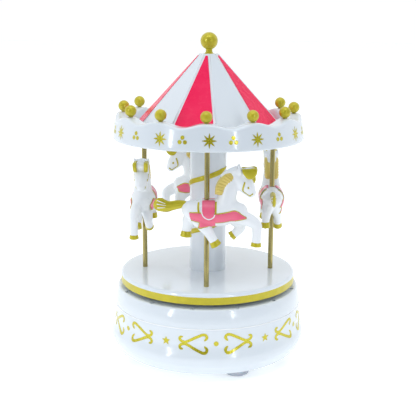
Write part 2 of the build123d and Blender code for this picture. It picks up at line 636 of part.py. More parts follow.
def roof_cone(drop):
    """Ten-sided solid cone, lowered by a drop."""
    foot = Pos(0, 0, ROOF_LOW_Z - drop) * roof_ring(ROOF_LOW_R)
    tip = Pos(0, 0, ROOF_TOP_Z - drop) * roof_ring(ROOF_TOP_R)
    return loft([foot, tip])


def roof_shell():
    """Ten-sided hollow cone with a small flat top and a boss for the finial's stud."""
    shell = roof_cone(0.0) & upright(0, 0, ROOF_LOW_Z, ROOF_TOP_Z, ROOF_FOOT_R)
    shell -= roof_cone(ROOF_DROP)
    shell += upright(0, 0, ROOF_TOP_Z - 9.0, ROOF_TOP_Z, 2.9)
    shell -= upright(0, 0, ROOF_TOP_Z - STUD_DEEP, ROOF_TOP_Z + 1, STUD_R)
    return shell


def roof_panel(k):
    """Thin coloured panel on every other face of the roof, inset from the ridges."""
    share = math.pi / ROOF_SIDES
    slope = (ROOF_LOW_R - ROOF_TOP_R) / (ROOF_TOP_Z - ROOF_LOW_Z)
    tilt = math.hypot(1.0, slope * math.cos(share))
    out = PANEL_T / tilt
    up = PANEL_T * slope * math.cos(share) / tilt
    low = []
    for z, sides in ((ROOF_LOW_Z + 1.0, (-1, 1)), (ROOF_TOP_Z - 1.0, (1, -1))):
        corner_r = ROOF_LOW_R - (z - ROOF_LOW_Z) * slope
        half = corner_r * math.sin(share) - PANEL_MARGIN
        low += [(side * half, -corner_r * math.cos(share), z) for side in sides]
    high = [(x, y - out, z + up) for x, y, z in low]
    rings = [low, high]
    for a, b in ((0, 1), (1, 2), (2, 3), (3, 0)):
        rings.append((low[a], low[b], high[b], high[a]))
    faces = [Face(Wire.make_polygon([Vector(*corner) for corner in ring], close=True)) for ring in rings]
    turn = ROOF_TURN - math.degrees(share) + 720.0 / ROOF_SIDES * k
    return Rot(0, 0, turn) * Solid(Shell(faces))


def ball(k):
    """Gold ball with a short neck that is glued on its crest."""
    neck = upright(0, 0, CREST_Z, BALL_Z, 1.1)
    shape = neck + Pos(0, 0, BALL_Z) * Sphere(BALL_R)
    return Pos(*around(BALL_TURN + 360.0 / BALL_COUNT * k, BALL_RING_R)) * shape


def finial():
    """Gold ball with a waisted neck and a stud in the tip of the roof."""
    neck = turned_polygon((0, ROOF_TOP_Z), (2.4, ROOF_TOP_Z), (1.7, ROOF_TOP_Z + 0.9),
                          (1.7, FINIAL_Z - 3.4), (0, FINIAL_Z - 3.4))
    stud = upright(0, 0, ROOF_TOP_Z - STUD_DEEP, ROOF_TOP_Z + 0.5, STUD_R)
    return neck + Pos(0, 0, FINIAL_Z) * Sphere(FINIAL_R) + stud


# ---- write every node ----

save(bottom_cover(), "bottom_cover")
save(base_drum(), "base_drum")
save(top_cover(), "top_cover")
for number, turn in enumerate(FOOT_TURNS, 1):
    save(Pos(*around(turn, FOOT_RING_R)) * foot(), f"foot_{number}")
save(cover_screws(), "cover_screws")
save(spindle_bush(), "spindle_bush")

save(bedplate(), "movement_bedplate")
save(plate_screws(), "bedplate_screws")
save(comb(), "comb")
save(comb_stand(), "comb_stand")
save(comb_screws(), "comb_screws")
save(bearing_cheek(INNER_CHEEK_X, (0.0, CYLINDER_SHAFT_R)), "cylinder_bearing_inner")
save(bearing_cheek(OUTER_CHEEK_X, (0.0, CYLINDER_SHAFT_R), (TRAIN_Y, ARBOR2_R)), "cylinder_bearing_outer")
save(governor_frame(), "governor_frame")
save(music_cylinder(), "music_cylinder")
save(second_arbor(), "second_arbor")
save(governor_worm(), "governor_worm")
save(winding_arbor(), "winding_arbor")
save(winding_key(), "winding_key")
save(spring_barrel(), "spring_barrel")
save(mainspring(), "mainspring")
save(drive_spindle(), "drive_spindle")

save(platform_disc(), "platform_disc")
save(platform_rim(), "platform_rim")
lower_screws, upper_screws = column_screws()
save(Compound(lower_screws), "column_screws_lower")
save(Compound(upper_screws), "column_screws_upper")
save(centre_column(), "centre_column")
save(column_ribbon(), "column_ribbon")
one_horse = horse()
for number in range(POLE_COUNT):
    save(pole(number), f"pole_{number + 1}")
    save(horse_at(number, one_horse), f"horse_{number + 1}")

save(ceiling_plate(), "ceiling_plate")
save(valance(), "valance")
save(roof_shell(), "roof_shell")
for number in range(ROOF_SIDES // 2):
    save(roof_panel(number), f"roof_panel_{number + 1}")
for number in range(BALL_COUNT):
    save(ball(number), f"canopy_ball_{number + 1:02d}")
save(finial(), "finial")
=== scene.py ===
# %% [markdown]
# # A carousel music box
#
# The real object is a wind-up music box: a glossy white plastic base with gold foil prints, a
# platform that turns with four brass poles and four small horses, and a canopy with a striped
# cone roof. The solid parts, their sizes and their joints come with the frame. This script
# gives every part its surface and finish, and makes the shapes that a turned or extruded
# solid can't give: the wavy valance, the foil prints and the modelled horses.

# %% Load the frame
import json
import math

import bmesh
import bpy
import numpy as np
from mathutils import Matrix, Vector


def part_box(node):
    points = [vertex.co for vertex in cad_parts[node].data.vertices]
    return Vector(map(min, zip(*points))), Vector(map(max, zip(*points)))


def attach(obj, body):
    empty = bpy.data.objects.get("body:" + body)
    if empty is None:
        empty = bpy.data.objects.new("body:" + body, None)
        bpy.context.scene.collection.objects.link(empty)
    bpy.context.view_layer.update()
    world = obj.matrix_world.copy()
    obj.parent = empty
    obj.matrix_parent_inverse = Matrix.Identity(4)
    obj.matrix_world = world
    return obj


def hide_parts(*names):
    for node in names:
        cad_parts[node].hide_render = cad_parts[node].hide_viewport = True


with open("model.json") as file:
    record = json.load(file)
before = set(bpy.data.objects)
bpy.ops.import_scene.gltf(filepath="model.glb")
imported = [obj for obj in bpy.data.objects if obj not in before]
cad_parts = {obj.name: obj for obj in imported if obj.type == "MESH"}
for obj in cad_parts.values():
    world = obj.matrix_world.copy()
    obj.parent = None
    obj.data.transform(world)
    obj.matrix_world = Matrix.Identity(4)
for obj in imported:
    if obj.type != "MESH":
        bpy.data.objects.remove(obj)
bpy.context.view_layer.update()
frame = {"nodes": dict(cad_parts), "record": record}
nodes = frame["nodes"]
print("parts in the frame:", len(nodes))

# %% [markdown]
# ## Measures from the frame
#
# A maker writes the few driving sizes down once and works the rest out from them. The boxes
# of the parts give those sizes, so a new piece always fits the part that it stands on.
# Azimuth 0 is the front of the object and grows towards its right side.

# %% Driving measures
MM = 0.001


def low(node, axis):
    """Lowest coordinate of a part along an axis (0, 1 or 2)."""
    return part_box(node)[0][axis]


def high(node, axis):
    """Highest coordinate of a part along an axis (0, 1 or 2)."""
    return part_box(node)[1][axis]


def spot(azimuth, radius, height):
    """A point at an azimuth in degrees: (radius sin, -radius cos, height)."""
    turn = np.radians(azimuth)
    return np.stack(np.broadcast_arrays(radius * np.sin(turn), -radius * np.cos(turn), height), -1)


FLOOR_Z = high("platform_disc", 2)
SEAM_HIGH_Z = low("top_cover", 2)
VALANCE_LOW_Z = low("valance", 2)
CREST_Z = high("valance", 2)
VALANCE_R = high("valance", 0)
POLE_RING_R = 33.8 * MM
POLE_TURN = -1.0
BALL_TURN = -1.4
BALL_COUNT = 12
ROOF_TURN = 5.84
ROOF_SIDES = 10
print("platform floor at", round(FLOOR_Z / MM, 1), "mm")
print("valance from", round(VALANCE_LOW_Z / MM, 1), "to", round(CREST_Z / MM, 1), "mm")

# %% [markdown]
# ## The stage, the lights and the camera
#
# A small glossy object is shown on a white sheet that runs far behind it. Two narrow upright
# soft boxes stand left and right of the camera, so each leaves one soft streak on every glossy
# drum, and a wide one hangs above. The room behind the camera is dark, and the pale sheet
# loses its glow well in front of the object, so a brass pole is darker along its middle.

# %% Camera
CAMERA_Y = -0.4645
CAMERA_Z = 0.1859
CAMERA_PITCH = 0.2265
CAMERA_ROLL = 0.0069
CAMERA_LENS = 77.3
camera_data = bpy.data.cameras.new("camera")
camera_data.lens = CAMERA_LENS
camera_data.sensor_width = 36.0
camera = bpy.data.objects.new("camera", camera_data)
camera.location = (0.0, CAMERA_Y, CAMERA_Z)
turn = Matrix.Rotation(math.pi / 2 - CAMERA_PITCH, 3, "X") @ Matrix.Rotation(CAMERA_ROLL, 3, "Z")
camera.rotation_euler = turn.to_euler()
bpy.context.collection.objects.link(camera)
bpy.context.scene.camera = camera
bpy.context.scene.view_settings.view_transform = "Standard"
print("camera", [round(v, 3) for v in camera.location])

# %% Soft boxes
COOL_WHITE = (0.95, 0.985, 1.0)
AIM_Z = 90.0 * MM


def soft_box(name, azimuth, distance, height, width, tall, power, tint):
    """A rectangular area light on a circle round the object, aimed at its middle."""
    data = bpy.data.lights.new(name, "AREA")
    data.shape = "RECTANGLE"
    data.size = width
    data.size_y = tall
    data.energy = power
    data.color = tint
    lamp = bpy.data.objects.new(name, data)
    place = spot(azimuth, distance, height)
    lamp.location = place.tolist()
    aim = np.array([0.0, 0.0, AIM_Z]) - place
    lamp.rotation_mode = "XYZ"
    tilt = math.atan2(-aim[2], math.hypot(aim[0], aim[1]))
    lamp.rotation_euler = (math.pi / 2 - tilt, 0.0, math.atan2(-aim[0], aim[1]))
    bpy.context.collection.objects.link(lamp)
    print(name, "at azimuth", azimuth)


soft_box("box_left", -44, 0.95, 0.40, 0.06, 0.60, 2.0, COOL_WHITE)
soft_box("box_right", 31, 0.95, 0.40, 0.045, 0.60, 1.35, COOL_WHITE)
soft_box("box_above", 0, 0.50, 1.30, 1.1, 0.45, 5.0, (0.95, 0.975, 1.0))

# %% [markdown]
# The room is a gradient from front to back: dark where the viewer stands, white behind the
# object. The sheet is one large disc. Its colour is painted shade in front of the object: it
# goes grey there, so a brass pole shows a dark middle. Behind the object the sheet glows as
# painted light, so it stays white. Both are read from the Y coordinate.

# %% Room
world = bpy.data.worlds.new("studio")
bpy.context.scene.world = world
world.use_nodes = True
room = world.node_tree.nodes
room_links = world.node_tree.links
direction = room.new("ShaderNodeTexCoord")
split = room.new("ShaderNodeSeparateXYZ")
shade = room.new("ShaderNodeValToRGB")
spread = room.new("ShaderNodeMapRange")
spread.inputs["From Min"].default_value = -1.0
room_links.new(direction.outputs["Generated"], split.inputs[0])
room_links.new(split.outputs["Y"], spread.inputs["Value"])
room_links.new(spread.outputs["Result"], shade.inputs["Fac"])
ramp = shade.color_ramp
ramp.elements[0].position = 0.05
ramp.elements[0].color = (0.045, 0.05, 0.06, 1.0)
ramp.elements[1].position = 0.60
ramp.elements[1].color = (0.985, 1.0, 1.0, 1.0)
middle = ramp.elements.new(0.36)
middle.color = (0.40, 0.45, 0.52, 1.0)
room_links.new(shade.outputs["Color"], room["Background"].inputs["Color"])
room["Background"].inputs["Strength"].default_value = 1.02

# %% Floor
FLOOR_R = 4.0
WHITE_FROM, WHITE_TO = -0.24, -0.14
FLOOR_GLOW = 0.37
floor_edge = np.radians(np.arange(0.0, 360.0, 4.0))
sheet = bpy.data.meshes.new("floor")
floor_points = FLOOR_R * np.stack([np.cos(floor_edge), np.sin(floor_edge), 0.0 * floor_edge], -1)
sheet.from_pydata(floor_points.tolist(), [], [list(range(len(floor_edge)))])
floor = bpy.data.objects.new("floor", sheet)
bpy.context.collection.objects.link(floor)
floor_finish = bpy.data.materials.new("floor_sheet")
floor_finish.use_nodes = True
floor_nodes, floor_links = floor_finish.node_tree.nodes, floor_finish.node_tree.links
paper = floor_nodes["Principled BSDF"]
paper.inputs["Roughness"].default_value = 0.9
paper.inputs["Emission Color"].default_value = (0.97, 0.985, 1.0, 1.0)
floor_place = floor_nodes.new("ShaderNodeTexCoord")
floor_split = floor_nodes.new("ShaderNodeSeparateXYZ")
floor_fade = floor_nodes.new("ShaderNodeMapRange")
floor_fade.inputs["From Min"].default_value = WHITE_FROM
floor_fade.inputs["From Max"].default_value = WHITE_TO
# painted light: the sheet glows behind the object, and the glow fades out towards the front
floor_glow = floor_nodes.new("ShaderNodeMath")
floor_glow.operation = "MULTIPLY"
floor_glow.inputs[1].default_value = FLOOR_GLOW
# painted shade: the sheet's colour turns grey in front of the object
floor_painted_shade = floor_nodes.new("ShaderNodeValToRGB")
floor_painted_shade.color_ramp.elements[0].color = (0.50, 0.52, 0.55, 1.0)
floor_painted_shade.color_ramp.elements[1].color = (0.93, 0.94, 0.945, 1.0)
floor_links.new(floor_place.outputs["Object"], floor_split.inputs["Vector"])
floor_links.new(floor_split.outputs["Y"], floor_fade.inputs["Value"])
floor_links.new(floor_fade.outputs["Result"], floor_painted_shade.inputs["Fac"])
floor_links.new(floor_fade.outputs["Result"], floor_glow.inputs[0])
floor_links.new(floor_painted_shade.outputs["Color"], paper.inputs["Base Color"])
floor_links.new(floor_glow.outputs["Value"], paper.inputs["Emission Strength"])
sheet.materials.append(floor_finish)
print("floor radius", FLOOR_R, "m")

# %% [markdown]
# ## Finishes
#
# Moulded plastic, sprayed paint, hot foil and plated rod all look smooth from far away. Close
# up each has its own small faults: moulded plastic has a faint flow pattern and handling
# marks, paint has thin places and a soft orange peel, and a rod has fine drawing lines. Each
# finish below is one Principled shader whose colour, roughness and bump are disturbed by
# noise at the scale of the real fault. The noise reads Object coordinates, so it stays on
# the part when the carousel turns.

# %% A helper that builds the common part of a finish
def finish(name, color, rough, metal=0.0, coat=0.0):
    """A new material with its plain values set on the shader.

    Returns the material, its nodes, its links, its shader and the Object coordinates.
    """
    material = bpy.data.materials.new(name)
    material.use_nodes = True
    tree = material.node_tree
    shader = tree.nodes["Principled BSDF"]
    shader.inputs["Base Color"].default_value = (*color, 1.0)
    shader.inputs["Roughness"].default_value = rough
    shader.inputs["Metallic"].default_value = metal
    shader.inputs["Coat Weight"].default_value = coat
    shader.inputs["Coat Roughness"].default_value = 0.08
    place = tree.nodes.new("ShaderNodeTexCoord")
    return material, tree.nodes, tree.links, shader, place.outputs["Object"]


def noise(tree_nodes, links, place, scale, detail=3.0, stretch=(1.0, 1.0, 1.0)):
    """Noise over Object coordinates in metres; stretch squeezes it along an axis."""
    mapping = tree_nodes.new("ShaderNodeMapping")
    mapping.inputs["Scale"].default_value = stretch
    texture = tree_nodes.new("ShaderNodeTexNoise")
    texture.inputs["Scale"].default_value = scale
    texture.inputs["Detail"].default_value = detail
    links.new(place, mapping.inputs["Vector"])
    links.new(mapping.outputs["Vector"], texture.inputs["Vector"])
    return texture.outputs["Fac"]


def ranged(tree_nodes, links, value, a, b):
    """Maps a noise value from its usual span of 0.3 to 0.7 to the span a to b."""
    span = tree_nodes.new("ShaderNodeMapRange")
    span.inputs["From Min"].default_value = 0.3
    span.inputs["From Max"].default_value = 0.7
    span.inputs["To Min"].default_value = a
    span.inputs["To Max"].default_value = b
    links.new(value, span.inputs["Value"])
    return span.outputs["Result"]


def tinted(tree_nodes, links, shader, value, dark, light):
    """Colours the surface between two tints by a noise value."""
    blend = tree_nodes.new("ShaderNodeValToRGB")
    blend.color_ramp.elements[0].color = (*dark, 1.0)
    blend.color_ramp.elements[1].color = (*light, 1.0)
    links.new(ranged(tree_nodes, links, value, 0.0, 1.0), blend.inputs["Fac"])
    links.new(blend.outputs["Color"], shader.inputs["Base Color"])


def glossed(tree_nodes, links, shader, value, smooth, rough):
    """Lets the roughness vary between two values by a noise value."""
    links.new(ranged(tree_nodes, links, value, smooth, rough), shader.inputs["Roughness"])


def bumped(tree_nodes, links, shader, value, height):
    """Raises the surface by a value times a height in metres."""
    bump = tree_nodes.new("ShaderNodeBump")
    bump.inputs["Strength"].default_value = 1.0
    bump.inputs["Distance"].default_value = height
    links.new(value, bump.inputs["Height"])
    links.new(bump.outputs["Normal"], shader.inputs["Normal"])


# %% Glossy moulded plastic
def moulded_plastic(name, color, rough=0.14, peel=0.000004):
    """Glossy plastic: cloudy tint, slightly uneven gloss and a shallow flow pattern."""
    material, tree_nodes, links, shader, place = finish(name, color, rough, coat=0.35)
    cloud = noise(tree_nodes, links, place, 35.0, 2.0)
    dark = tuple(0.985 * c for c in color)
    tinted(tree_nodes, links, shader, cloud, dark, color)
    handling = noise(tree_nodes, links, place, 140.0, 5.0)
    glossed(tree_nodes, links, shader, handling, rough - 0.05, rough + 0.09)
    bumped(tree_nodes, links, shader, noise(tree_nodes, links, place, 260.0, 2.0), peel)
    return material


white_gloss = moulded_plastic("white_gloss", (0.79, 0.84, 0.89))
# painted light: the horses get a brighter copy of the white plastic, so they look more strongly lit than the
# base
horse_white_painted_light = moulded_plastic("horse_white_painted_light", (0.93, 0.95, 0.975), 0.30)
# painted highlight: a brighter copy of the white plastic, used for the seam lip, the tail's hair lines and
# the harness piping
white_painted_highlight = moulded_plastic("white_painted_highlight", (0.97, 0.98, 0.99), 0.30)
# painted light: a lighter, cooler copy of the white plastic for the platform disc, so the deck reads
# brighter
white_platform_painted_light = moulded_plastic("white_platform_painted_light", (0.80, 0.855, 0.915), 0.12)


# %% Sprayed gold paint
def gold_spray(name, color, rough=0.38, metal=0.35, thin=0.88, grain=0.000012):
    """Mustard gold paint: fine metal flakes vary the gloss, thin places show a little darker."""
    material, tree_nodes, links, shader, place = finish(name, color, rough, metal, coat=0.25)
    cover = noise(tree_nodes, links, place, 300.0, 4.0)
    thin_color = tuple(thin * c for c in color)
    tinted(tree_nodes, links, shader, cover, thin_color, color)
    flake = noise(tree_nodes, links, place, 2600.0, 2.0)
    glossed(tree_nodes, links, shader, flake, rough - 0.08, rough + 0.10)
    bumped(tree_nodes, links, shader, noise(tree_nodes, links, place, 900.0, 3.0), grain)
    return material


gold_paint = gold_spray("gold_paint", (0.62, 0.53, 0.022))
gold_foil = gold_spray("gold_foil", (0.64, 0.56, 0.03), 0.28, 0.5, 0.9, 0.000006)
gold_mane = gold_spray("gold_mane", (0.84, 0.66, 0.17), 0.42, 0.1)


# %% Pink paint
def pink_gloss(name, color, rough=0.25):
    """Opaque pink lacquer with slightly lighter thin spots."""
    material, tree_nodes, links, shader, place = finish(name, color, rough, coat=0.4)
    cover = noise(tree_nodes, links, place, 90.0, 4.0)
    light = tuple(min(1.0, 1.06 * c + 0.015) for c in color)
    tinted(tree_nodes, links, shader, cover, color, light)
    gloss = noise(tree_nodes, links, place, 300.0, 3.0)
    glossed(tree_nodes, links, shader, gloss, rough - 0.06, rough + 0.08)
    bumped(tree_nodes, links, shader, noise(tree_nodes, links, place, 420.0, 3.0), 0.000006)
    return material


pink_roof = pink_gloss("pink_roof", (0.96, 0.010, 0.095))
pink_shader = pink_roof.node_tree.nodes["Principled BSDF"]
pink_shader.inputs["Specular IOR Level"].default_value = 0.12
pink_shader.inputs["Coat Weight"].default_value = 0.0
pink_harness = pink_gloss("pink_harness", (0.90, 0.13, 0.24), 0.32)


# %% Plated rods and the metals of the movement
def drawn_metal(name, color, rough, grain_scale, stretch, depth=0.000008):
    """Bare metal with fine lines along one axis and faint stains."""
    material, tree_nodes, links, shader, place = finish(name, color, rough, 1.0)
    stain = noise(tree_nodes, links, place, 120.0, 4.0)
    dull = tuple(0.78 * c for c in color)
    tinted(tree_nodes, links, shader, stain, dull, color)
    lines = noise(tree_nodes, links, place, grain_scale, 2.0, stretch)
    glossed(tree_nodes, links, shader, lines, rough - 0.05, rough + 0.10)
    bumped(tree_nodes, links, shader, lines, depth)
    return material


rod_brass = drawn_metal("rod_brass", (0.45, 0.38, 0.15), 0.17, 1500.0, (1.0, 1.0, 0.03))
gear_brass = drawn_metal("gear_brass", (0.74, 0.56, 0.26), 0.28, 900.0, (1.0, 0.2, 1.0))
cast_zinc = drawn_metal("cast_zinc", (0.52, 0.53, 0.55), 0.45, 500.0, (1.0, 1.0, 1.0), 0.00003)
ground_steel = drawn_metal("ground_steel", (0.58, 0.59, 0.61), 0.26, 1200.0, (0.2, 1.0, 1.0))


# %% Soft feet
def soft_pad(name):
    """Milky grey soft plastic: dull, a little see-through at its edge."""
    material, tree_nodes, links, shader, place = finish(name, (0.50, 0.54, 0.60), 0.5)
    shader.inputs["Subsurface Weight"].default_value = 0.25
    shader.inputs["Subsurface Scale"].default_value = 0.002
    grime = noise(tree_nodes, links, place, 400.0, 5.0)
    tinted(tree_nodes, links, shader, grime, (0.40, 0.43, 0.48), (0.58, 0.61, 0.67))
    bumped(tree_nodes, links, shader, grime, 0.00004)
    return material


foot_pad = soft_pad("foot_pad")

# %% Give every part of the frame its finish
finish_of_slot = {
    "white_plastic": white_gloss, "horse_plastic": white_gloss, "gold_paint": gold_paint,
    "pink_paint": pink_roof, "brass_rod": rod_brass, "movement_brass": gear_brass,
    "movement_zinc": cast_zinc, "movement_steel": ground_steel, "foot_rubber": foot_pad,
}
slot_of_node = {part["node"]: part["material_slot"] for part in frame["record"]["subparts"]}
for node, part in nodes.items():
    part.data.materials.clear()
    part.data.materials.append(finish_of_slot[slot_of_node[node]])
# the platform disc gets the lighter copy of the white, which is painted light
nodes["platform_disc"].data.materials[0] = white_platform_painted_light
print("finishes given:", len(nodes))

# %% [markdown]
# ## Pieces as closed surfaces
#
# Every new piece is a stack of rings closed by a pole at each end, or a loop of rings that
# meets itself. A formula gives all the points of a ring at once, and the faces join each ring
# to the next one. This makes closed skins with even quads, which shade softly.

# %% Rings to meshes
def quads(rows, cols, wrap=False):
    """Faces between neighbouring rings: (r, c), (r, c+1), (r+1, c+1), (r+1, c), columns wrapped."""
    last = rows if wrap else rows - 1
    r, c = np.meshgrid(np.arange(last), np.arange(cols), indexing="ij")
    right, below = (c + 1) % cols, (r + 1) % rows
    corners = [r * cols + c, r * cols + right, below * cols + right, below * cols + c]
    return np.stack(corners, -1).reshape(-1, 4)


def closed_stack(rings, first, last):
    """Rings (rows, cols, 3) closed by the points first and last; returns points and faces."""
    rows, cols = rings.shape[:2]
    points = np.concatenate([rings.reshape(-1, 3), [first], [last]])
    around = np.arange(cols)
    ahead = (around + 1) % cols
    cap_a = np.stack([np.full(cols, rows * cols), ahead, around], -1)
    base = (rows - 1) * cols
    cap_b = np.stack([np.full(cols, rows * cols + 1), base + around, base + ahead], -1)
    return points, quads(rows, cols).tolist() + cap_a.tolist() + cap_b.tolist()


def closed_ring(rings):
    """Rings (rows, cols, 3) whose last ring meets the first one."""
    return rings.reshape(-1, 3), quads(rings.shape[0], rings.shape[1], wrap=True).tolist()


def joined(parts):
    """Several (points, faces) pairs as one."""
    points, faces, count = [], [], 0
    for part_points, part_faces in parts:
        points.append(part_points)
        faces += [[count + v for v in face] for face in part_faces]
        count += len(part_points)
    return np.concatenate(points), faces


def solid(name, part, finish_used):
    """A mesh object from (points, faces), its normals turned outward."""
    points, faces = part
    mesh = bpy.data.meshes.new(name)
    mesh.from_pydata(points.tolist(), [], faces)
    work = bmesh.new()
    work.from_mesh(mesh)
    bmesh.ops.recalc_face_normals(work, faces=work.faces)
    work.to_mesh(mesh)
    work.free()
    mesh.shade_smooth()
    mesh.materials.append(finish_used)
    made = bpy.data.objects.new(name, mesh)
    bpy.context.collection.objects.link(made)
    return made


def belongs(made, body, slot, *replaced):
    """Attaches a new piece to the body that carries it and hides the parts that it stands for. The slot is
    not used.
    """
    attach(made, body)
    if replaced:
        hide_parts(*replaced)
    return made


def sharp_by_angle(made, degrees):
    """Keeps edges steeper than an angle crisp while the rest shades softly."""
    made.data.set_sharp_from_angle(angle=math.radians(degrees))


# %% [markdown]
# ## The wavy valance
#
# The valance is a flared ring. Its wall leans in towards the top and bulges a little. The top
# edge is a wave with twelve crests, and a ball stands on each crest. The wave is a cosine of
# twelve times the azimuth, so crests and valleys have the same soft shape. The section at
# each azimuth is a closed line: up the wall, round the lip, across the shelf and back inside.

# %% Valance
WALL_TOP_R = 48.3 * MM
WALL_BULGE = 0.25 * MM
LIP = 1.7 * MM
SHELF_R = 41.0 * MM
FOOT_ROUND = 0.6 * MM
ROOF_FOOT_Z = low("roof_shell", 2)
WAVE = 2.2 * MM


def wall_radius(height):
    """Wall of the valance: a straight taper plus a bulge of half a sine."""
    share = np.clip((height - VALANCE_LOW_Z) / (CREST_Z - LIP - VALANCE_LOW_Z), 0.0, 1.0)
    return VALANCE_R + (WALL_TOP_R - VALANCE_R) * share + WALL_BULGE * (np.sin(math.pi * share) - 1.0)


def wave_top(azimuth):
    """Height of the valance's top: crest less half the wave times (1 - cos of twelve turns)."""
    return CREST_Z - WAVE * (0.5 - 0.5 * np.cos(np.radians(BALL_COUNT * (azimuth - BALL_TURN))))


def valance_ring():
    """Closed section at each of 720 azimuths, as rows of radius and height."""
    azimuth = np.arange(0.0, 360.0, 0.5)
    top = wave_top(azimuth)
    share = np.linspace(0.0, 1.0, 9)
    wall_low = VALANCE_LOW_Z + FOOT_ROUND
    wall_z = wall_low + share[:, None] * (top - LIP - wall_low)[None, :]
    wall_r = wall_radius(wall_z)
    turn = np.radians(np.linspace(15.0, 90.0, 6))[:, None]
    lip_r = wall_r[-1] - LIP * (1.0 - np.cos(turn))
    lip_z = top - LIP * (1.0 - np.sin(turn))
    sag = np.array([0.0, -0.05, -0.05, 0.0])[:, None] * MM
    shelf_r = np.linspace(WALL_TOP_R - LIP - 0.9 * MM, SHELF_R + 0.9 * MM, 4)[:, None] + 0.0 * top
    shelf_z = top + sag
    inner_r = SHELF_R + np.array([0.25, 0.0, 0.0, 1.6, 1.6])[:, None] * MM + 0.0 * top
    inner_z = np.stack([top - 0.25 * MM, top - 0.9 * MM, np.full_like(top, ROOF_FOOT_Z),
                        np.full_like(top, ROOF_FOOT_Z), np.full_like(top, CREST_Z - 4.2 * MM)])
    under_r = np.array([46.4, 47.9, 48.1, 48.7, 49.35]) * MM
    under_z = VALANCE_LOW_Z + np.array([9.0, 0.8, 0.15, 0.0, 0.15]) * MM
    radius = np.concatenate([wall_r, lip_r, shelf_r, inner_r, under_r[:, None] + 0.0 * top])
    height = np.concatenate([wall_z, lip_z, shelf_z, inner_z, under_z[:, None] + 0.0 * top])
    return closed_ring(spot(azimuth[None, :], radius, height))


valance = belongs(solid("valance_wave", valance_ring(), white_gloss), "carousel", "white_plastic", "valance")
sharp_by_angle(valance, 50)
print("valance faces:", len(valance.data.polygons))

# %% [markdown]
# ## The ridges of the roof
#
# The roof is a cone with ten flat faces. Where two faces meet the mould leaves a low rounded
# ridge. Each ridge is a thin tapering bar from the foot of the roof to its tip.

# %% Roof ridges
ROOF_TOP_Z = high("roof_shell", 2)
ROOF_LOW_R = 41.4 * MM
ROOF_TOP_R = 4.8 * MM
RIDGE_FOOT_R = 40.4 * MM
RIDGE_BAR = 0.5 * MM


def round_bar(start, end, radius_a, radius_b):
    """Straight bar: a circle of ten points at each end, closed with poles."""
    start, end = np.asarray(start), np.asarray(end)
    axis = (end - start) / np.linalg.norm(end - start)
    side = np.cross(axis, [0.0, 0.0, 1.0])
    side /= np.linalg.norm(side)
    up = np.cross(axis, side)
    angle = np.linspace(0.0, 2.0 * math.pi, 10, endpoint=False)
    circle = np.cos(angle)[:, None] * side + np.sin(angle)[:, None] * up
    rings = np.stack([start + radius_a * circle, end + radius_b * circle])
    return closed_stack(rings, start - 0.3 * radius_a * axis, end + 0.3 * radius_b * axis)


roof_slope = (ROOF_LOW_R - ROOF_TOP_R) / (ROOF_TOP_Z - ROOF_FOOT_Z)
ridge_foot_z = ROOF_FOOT_Z + (ROOF_LOW_R - RIDGE_FOOT_R) / roof_slope
ridges = []
for step in range(ROOF_SIDES):
    azimuth = ROOF_TURN + 360.0 / ROOF_SIDES * step
    foot_point = spot(azimuth, RIDGE_FOOT_R - 0.25 * MM, ridge_foot_z - 0.25 * MM)
    tip_point = spot(azimuth, ROOF_TOP_R - 0.1 * MM, ROOF_TOP_Z - 0.1 * MM)
    ridges.append(round_bar(foot_point, tip_point, RIDGE_BAR, 0.45 * RIDGE_BAR))
belongs(solid("roof_ridges", joined(ridges), white_gloss), "carousel", "white_plastic")
print("roof ridges:", len(ridges))

# %% [markdown]
# ## Foil prints
#
# The gold prints are hot foil. Foil lies on the plastic as a layer so thin that only its own
# gloss shows. Here each motif is a closed skin 0.1 mm proud, bent onto the wall it decorates.
# A motif is drawn flat, in millimetres along the wall and up, and then wrapped: the first
# number becomes an azimuth and the wall's own profile gives the radius.

# %% Wrapping a flat drawing onto a turned wall
def wrapped(wall, azimuth, height, drawing, lift):
    """Points of a drawing (.., 2) in metres on a turned wall, lifted off it along the radius."""
    z = height + drawing[..., 1]
    radius = wall(z)
    angle = azimuth + np.degrees(drawing[..., 0] / radius)
    return spot(angle, radius + lift, z)


FOIL = 0.10 * MM


def foil_shape(wall, azimuth, height, outline):
    """A filled outline: its edge sunk, its edge raised, a smaller copy raised, closed at the middle."""
    centre = outline.mean(0)
    inner = centre + (outline - centre) * 0.5
    drawn = ((outline, -FOIL), (outline, FOIL), (inner, FOIL), (centre, -FOIL), (centre, FOIL))
    places = [wrapped(wall, azimuth, height, drawing, lift) for drawing, lift in drawn]
    return closed_stack(np.stack(places[:3]), places[3], places[4])


def foil_line(wall, azimuth, height, path, width):
    """A drawn line: at each point of the path a flat section across it, pointed at both ends."""
    along = np.gradient(path, axis=0)
    along /= np.linalg.norm(along, axis=1)[:, None]
    across = np.stack([-along[:, 1], along[:, 0]], -1)
    share = np.linspace(0.0, 1.0, len(path))
    half = 0.5 * width * np.sqrt(np.clip(1.0 - (2.0 * share - 1.0) ** 10, 0.06, 1.0))
    offsets = np.array([[-1.0, -1.0], [-1.0, 1.0], [0.0, 1.0], [1.0, 1.0], [1.0, -1.0]])
    rings = []
    for sideways, lift in offsets:
        rings.append(wrapped(wall, azimuth, height, path + sideways * half[:, None] * across, lift * FOIL))
    tips = [wrapped(wall, azimuth, height, path[end], 0.0) for end in (0, -1)]
    return closed_stack(np.stack(rings, 1), tips[0], tips[1])


def star_outline(points, outer, inner):
    """Outline of a star: radius switches between outer and inner at equal turns."""
    turn = np.radians(90.0 + np.arange(2 * points) * 180.0 / points)
    radius = np.where(np.arange(2 * points) % 2 == 0, outer, inner)
    return np.stack([radius * np.cos(turn), radius * np.sin(turn)], -1)


